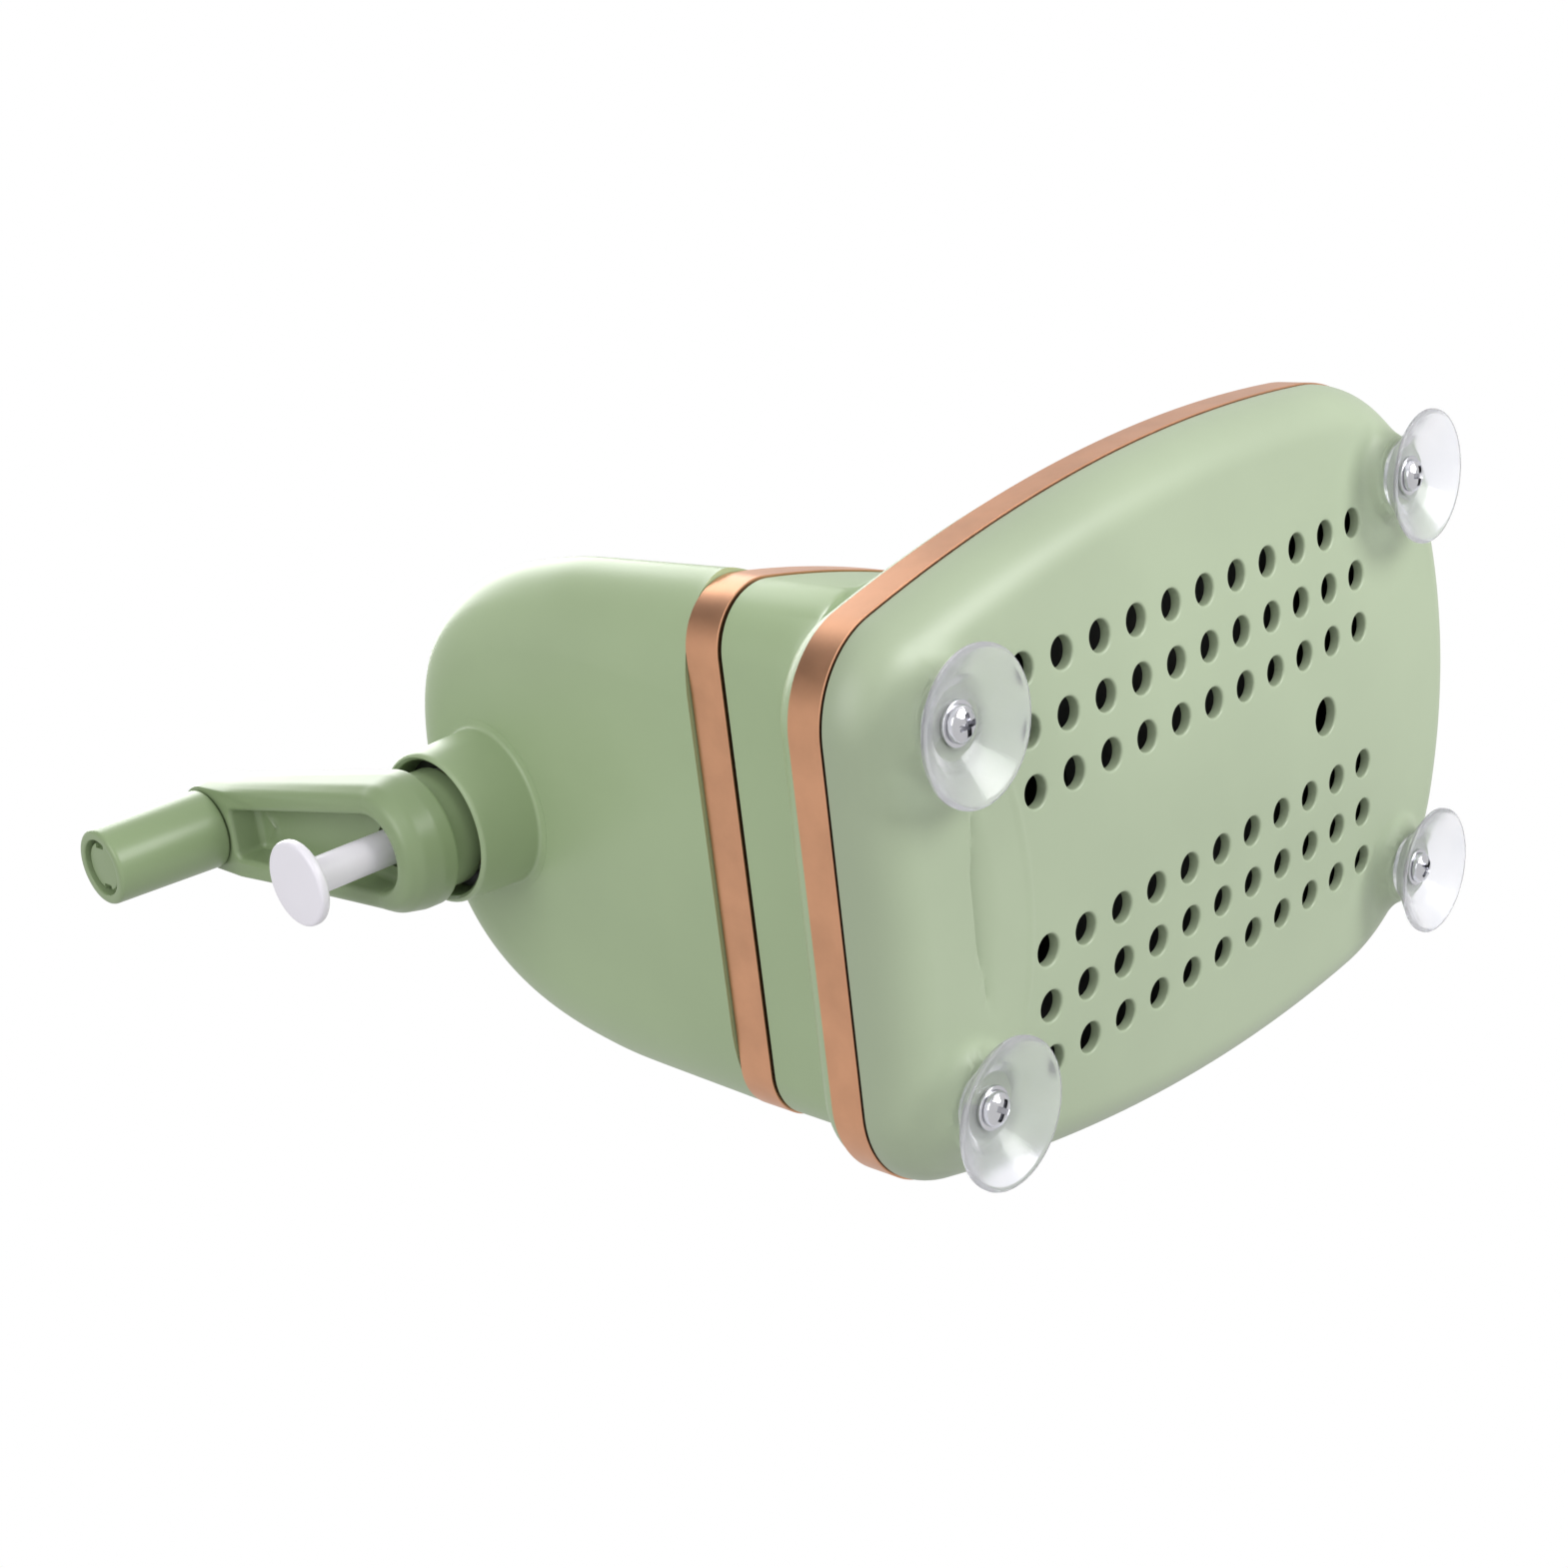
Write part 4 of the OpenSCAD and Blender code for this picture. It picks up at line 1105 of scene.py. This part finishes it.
screws = [cup_screw(number, x, y) for number, (x, y) in enumerate(CUP_PLACES)]
fit(joined("screws", screws), "cup_screws", "steel", bright_steel)

# %% [markdown]
# ## The food side
# From the other side the grinder shows its bowl, pusher, throat, ring nut and grinding plate. They
# are turned parts too. The nut has finger flutes, cut by a ring of round bars, and the plate has two
# circles of holes, each with its edge broken by the drill's wider end. The bowl's inside is cut clear
# round the pusher, because the rounding between its floor and wall would otherwise reach it.

# %% Turn the hopper, its seal, the throat and the pusher
HOPPER_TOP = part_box("hopper")[1].z / MM
BOWL_LOW = HOPPER_TOP - 22.9
BOWL_X, BOWL_R = -22.0, 30.0
BOWL_BASE_R, BOWL_FLOOR_R = 26.0, 22.0
THROAT_TOP = CROWN_Z + 6.0
HOPPER_R = 13.5
SPOUT_R, SPOUT_MOUTH_R = 15.8, HOPPER_R + 1.2
FOOT_Z = 166.0
CLEAR_Z = BOWL_LOW + 9
THROAT_BORE, SEAL_R, COLLAR_R, FLANGE_R = 16.0, 19.2, 18.5, 21.0
PUSHER_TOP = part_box("food_pusher")[1].z / MM

bowl_corners = [(BOWL_LOW, 0.0, 0), (BOWL_LOW, BOWL_BASE_R, 2.2), (BOWL_LOW + 2.5, BOWL_R - 1.6, 2),
                (HOPPER_TOP - 3.0, BOWL_R, 0.3), (HOPPER_TOP - 2.6, BOWL_R + 1, 0.3),
                (HOPPER_TOP, BOWL_R + 1, 0.9), (HOPPER_TOP, BOWL_R - WALL, 0.9),
                (BOWL_LOW + 4.5, BOWL_R - 4.2, 4.0), (BOWL_LOW + WALL, BOWL_FLOOR_R, 1),
                (BOWL_LOW + WALL, 0.0, 0)]
bowl = turned("hopper_bowl", bowl_corners, (BOWL_X, 0.0, 0.0), "z", FINE)
spout_corners = [(FOOT_Z + 2, 0.0, 0), (FOOT_Z + 2, SPOUT_R, 0.6), (BOWL_LOW + 1, SPOUT_R, 0),
                 (BOWL_LOW + 1, 0.0, 0)]
combine(bowl, "UNION", turned("spout", spout_corners, THROAT_AXIS, "z", ROUND))
way_corners = [(FOOT_Z - 5, 0.0, 0), (FOOT_Z - 5, HOPPER_R, 0), (BOWL_LOW + WALL - 0.9, HOPPER_R, 0.6),
               (BOWL_LOW + WALL + 0.3, SPOUT_MOUTH_R, 0.3), (CLEAR_Z, SPOUT_MOUTH_R, 0), (CLEAR_Z, 0.0, 0)]
combine(bowl, "DIFFERENCE", turned("spout_way", way_corners, THROAT_AXIS, "z", ROUND))
fit(bowl, "hopper", "green", sage_plastic)

seal_low, seal_high = THROAT_TOP + 0.05, BOWL_LOW - 0.05
seal_corners = [(seal_low, THROAT_BORE, 0.1), (seal_low, SEAL_R, 0.8), (seal_high, SEAL_R, 0.8),
                (seal_high, THROAT_BORE, 0.1), (seal_low, THROAT_BORE, 0)]
gasket = turned("hopper_gasket", seal_corners, THROAT_AXIS, "z", ROUND, ring=True)
fit(gasket, "hopper_seal", "dark_rubber", dark_rubber)

throat_corners = [(CROWN_Z - 4, THROAT_BORE, 0), (CROWN_Z - 4, COLLAR_R, 0), (CROWN_Z + 0.1, COLLAR_R, 0),
                  (CROWN_Z + 0.1, FLANGE_R, 0.2), (CROWN_Z + 2.4, FLANGE_R, 0.9),
                  (CROWN_Z + 3.4, COLLAR_R, 1.2), (THROAT_TOP, COLLAR_R, 0.4),
                  (THROAT_TOP, THROAT_BORE, 0.3), (CROWN_Z - 4, THROAT_BORE, 0)]
collar = turned("throat_collar", throat_corners, THROAT_AXIS, "z", ROUND, ring=True)
fit(collar, "feed_throat", "green", sage_plastic)

pusher_r = HOPPER_R - 0.1
cap_r = pusher_r + 3.4
pusher_corners = [(FOOT_Z, 0.0, 0), (FOOT_Z, pusher_r, 1.0), (PUSHER_TOP - 4.5, pusher_r, 1.2),
                  (PUSHER_TOP - 3.2, cap_r, 0.5), (PUSHER_TOP, cap_r, 1.3), (PUSHER_TOP, pusher_r - 2.4, 0.8),
                  (FOOT_Z + 3, pusher_r - 2.8, 1.5), (FOOT_Z + 3, 0.0, 0)]
fit(turned("pusher", pusher_corners, THROAT_AXIS, "z", ROUND), "food_pusher", "white", white_plastic)

# %% Turn the ring nut and drill the plate
NUT_BACK, NUT_FRONT, NUT_R = HEAD_FRONT + 4.0, 17.3, 27.0
THREAD_R = 23.1
PLATE_X, PLATE_H, PLATE_R, PLATE_BORE = 9.2, 5.0, 18.42, 4.06
LIP_INNER_R = 15.5
FLUTES, FLUTE_R = 12, 3.2
PLATE_HOLES = ((8.4, 6), (13.6, 12))
HOLE_R = 2.4


def round_axis(radius, count):
    """Evenly spaced places on a circle round the crank's axis."""
    for k in range(count):
        turn = 2 * math.pi * k / count
        yield k, (0.0, radius * math.sin(turn), AXIS_Z + radius * math.cos(turn))


lip_back = PLATE_X + PLATE_H + 0.2
nut_bore = THREAD_R + 0.35
nut_corners = [(NUT_BACK, nut_bore, 0.1), (NUT_BACK, NUT_R, 1.0), (NUT_FRONT - 6, NUT_R, 3.0),
               (NUT_FRONT, NUT_R - 4.5, 1.5), (NUT_FRONT, LIP_INNER_R, 0.8), (lip_back, LIP_INNER_R, 0.2),
               (lip_back, nut_bore, 0.1), (NUT_BACK, nut_bore, 0)]
nut = turned("nut", nut_corners, CRANK_AXIS, "x", 192, ring=True)
flutes = [bar(f"flute_{k}", NUT_BACK - 2, NUT_FRONT - 3, FLUTE_R, place, "x", 40, 1.5)
          for k, place in round_axis(NUT_R + 2, FLUTES)]
combine(nut, "DIFFERENCE", *flutes)
fit(nut, "ring_nut", "green", sage_plastic)

face_x = PLATE_X + PLATE_H
plate_corners = [(PLATE_X, PLATE_BORE, 0.1), (PLATE_X, PLATE_R, 0.3), (face_x, PLATE_R, 0.3),
                 (face_x, PLATE_BORE, 0.3), (PLATE_X, PLATE_BORE, 0)]
plate = turned("plate", plate_corners, CRANK_AXIS, "x", FINE, ring=True)
drill_corners = [(PLATE_X - 1, 0.0, 0), (PLATE_X - 1, HOLE_R, 0), (face_x - 0.3, HOLE_R, 0),
                 (face_x + 0.3, HOLE_R + 0.5, 0), (face_x + 0.3, 0.0, 0)]
drills = [turned(f"drill_{ring_r}_{k}", drill_corners, place, "x", 32)
          for ring_r, count in PLATE_HOLES for k, place in round_axis(ring_r, count)]
combine(plate, "DIFFERENCE", *drills)
fit(plate, "grinding_plate", "steel", ground_steel)

# %% [markdown]
# ## Parts that keep their own mesh
# The barrel, auger, blade, bush, seal, clip and the screws inside the neck already have the right
# shape, so they keep their meshes and only get finishes. The clip's dark steel is painted shade for the gap
# it sits in.

# %% Dress the inner parts
INNER_FINISHES = {"barrel": cast_metal, "auger": cast_metal, "cutting_blade": ground_steel,
                  "rear_bush": bronze, "shaft_seal": dark_rubber, "barrel_clip": clip_painted_shade,
                  "neck_screws": bright_steel}
for node, finish in INNER_FINISHES.items():
    frame["nodes"][node].data.materials.clear()
    frame["nodes"][node].data.materials.append(finish)
print("inner parts dressed:", ", ".join(INNER_FINISHES))

# %% [markdown]
# ## The studio
# The grinder stands on a plain pale floor. The camera is lower than the floor, so the floor lets
# every ray through except a camera's rays that look down on it: it still catches the grinder's shadow
# in a view from above. The world is white to the camera and through the clear cups, and it lights the
# grinder with a plain soft grey. Glossy surfaces mirror a dimmer level with one dark card in it,
# because an all-white room would wash their colour out. A real studio hangs a black card for this.

# %% Floor and world
FLOOR_HALF = 2.5
WORLD_LIGHT = 0.6
MIRRORED_LIGHT = 0.76
CARD_LIGHT = 0.12
DARK_CARD = (-0.31, -0.66, 0.68)
CARD_EDGE = (0.78, 0.97)
FLOOR_DROP = 0.00005
WHITE = (1.0, 1.0, 1.0, 1.0)


def any_ray(tree, *kinds):
    """1 for rays of any of these kinds."""
    path = add_node(tree, "ShaderNodeLightPath")
    found = path.outputs[kinds[0]]
    for kind in kinds[1:]:
        found = maths(tree, "MAXIMUM", found, path.outputs[kind])
    return found


floor_mesh = bpy.data.meshes.new("floor")
floor_corners = [(x * FLOOR_HALF, y * FLOOR_HALF, -FLOOR_DROP)
                 for x, y in ((-1, -1), (1, -1), (1, 1), (-1, 1))]
floor_mesh.from_pydata(floor_corners, [], [(0, 1, 2, 3)])
floor = bpy.data.objects.new("floor", floor_mesh)
bpy.context.scene.collection.objects.link(floor)

paper, tree, shader = new_finish("paper")
grain = blended(tree, cloud(tree, 6.0, 5.0), shade(249, 249, 248), shade(252, 252, 252))
tree.links.new(grain, shader.inputs["Base Color"])
shader.inputs["Roughness"].default_value = 0.9
clear = add_node(tree, "ShaderNodeBsdfTransparent")
above = maths(tree, "SUBTRACT", 1.0, add_node(tree, "ShaderNodeNewGeometry").outputs["Backfacing"])
seen = maths(tree, "MULTIPLY", above, any_ray(tree, "Is Camera Ray"))
choice = add_node(tree, "ShaderNodeMixShader", {0: seen, 1: clear.outputs[0], 2: shader.outputs[0]})
tree.links.new(choice.outputs[0], tree.nodes["Material Output"].inputs["Surface"])
floor.data.materials.append(paper)

world = bpy.data.worlds.new("studio")
bpy.context.scene.world = world
world.use_nodes = True
tree = world.node_tree
plain = tree.nodes["Background"]
plain.inputs["Color"].default_value = WHITE
plain.inputs["Strength"].default_value = WORLD_LIGHT
white = add_node(tree, "ShaderNodeBackground", {"Color": WHITE, "Strength": 1.0})
place = add_node(tree, "ShaderNodeTexCoord").outputs["Generated"]
facing = add_node(tree, "ShaderNodeVectorMath", {0: place, 1: DARK_CARD}, operation="DOT_PRODUCT")
level = ranged(tree, facing.outputs["Value"], MIRRORED_LIGHT, CARD_LIGHT, CARD_EDGE)
mirrored = add_node(tree, "ShaderNodeBackground", {"Color": WHITE, "Strength": level})
glossy = any_ray(tree, "Is Glossy Ray")
soft = add_node(tree, "ShaderNodeMixShader", {0: glossy, 1: plain.outputs[0], 2: mirrored.outputs[0]})
seen = any_ray(tree, "Is Camera Ray", "Is Transmission Ray")
choice = add_node(tree, "ShaderNodeMixShader", {0: seen, 1: soft.outputs[0], 2: white.outputs[0]})
tree.links.new(choice.outputs[0], tree.nodes["World Output"].inputs["Surface"])

# %% Lamps
AIM = Vector((0.0, 0.0, 0.08))
# Where each lamp stands, how wide it is in metres, and its watts
LAMPS = {"key": ((0.30, -0.47, -0.72), 0.55, 7.6), "fill": ((-0.9, -0.5, -0.1), 0.7, 4.0),
         "top": ((0.3, -0.4, 1.2), 0.9, 12.0)}

for name, (place, size, power) in LAMPS.items():
    lamp = bpy.data.objects.new(name, bpy.data.lights.new(name, "AREA"))
    lamp.data.size = size
    lamp.data.energy = power
    lamp.location = place
    lamp.rotation_euler = (AIM - Vector(place)).to_track_quat("-Z", "Y").to_euler()
    bpy.context.scene.collection.objects.link(lamp)
bpy.context.scene.view_settings.view_transform = "Standard"
print("lamps:", ", ".join(LAMPS))
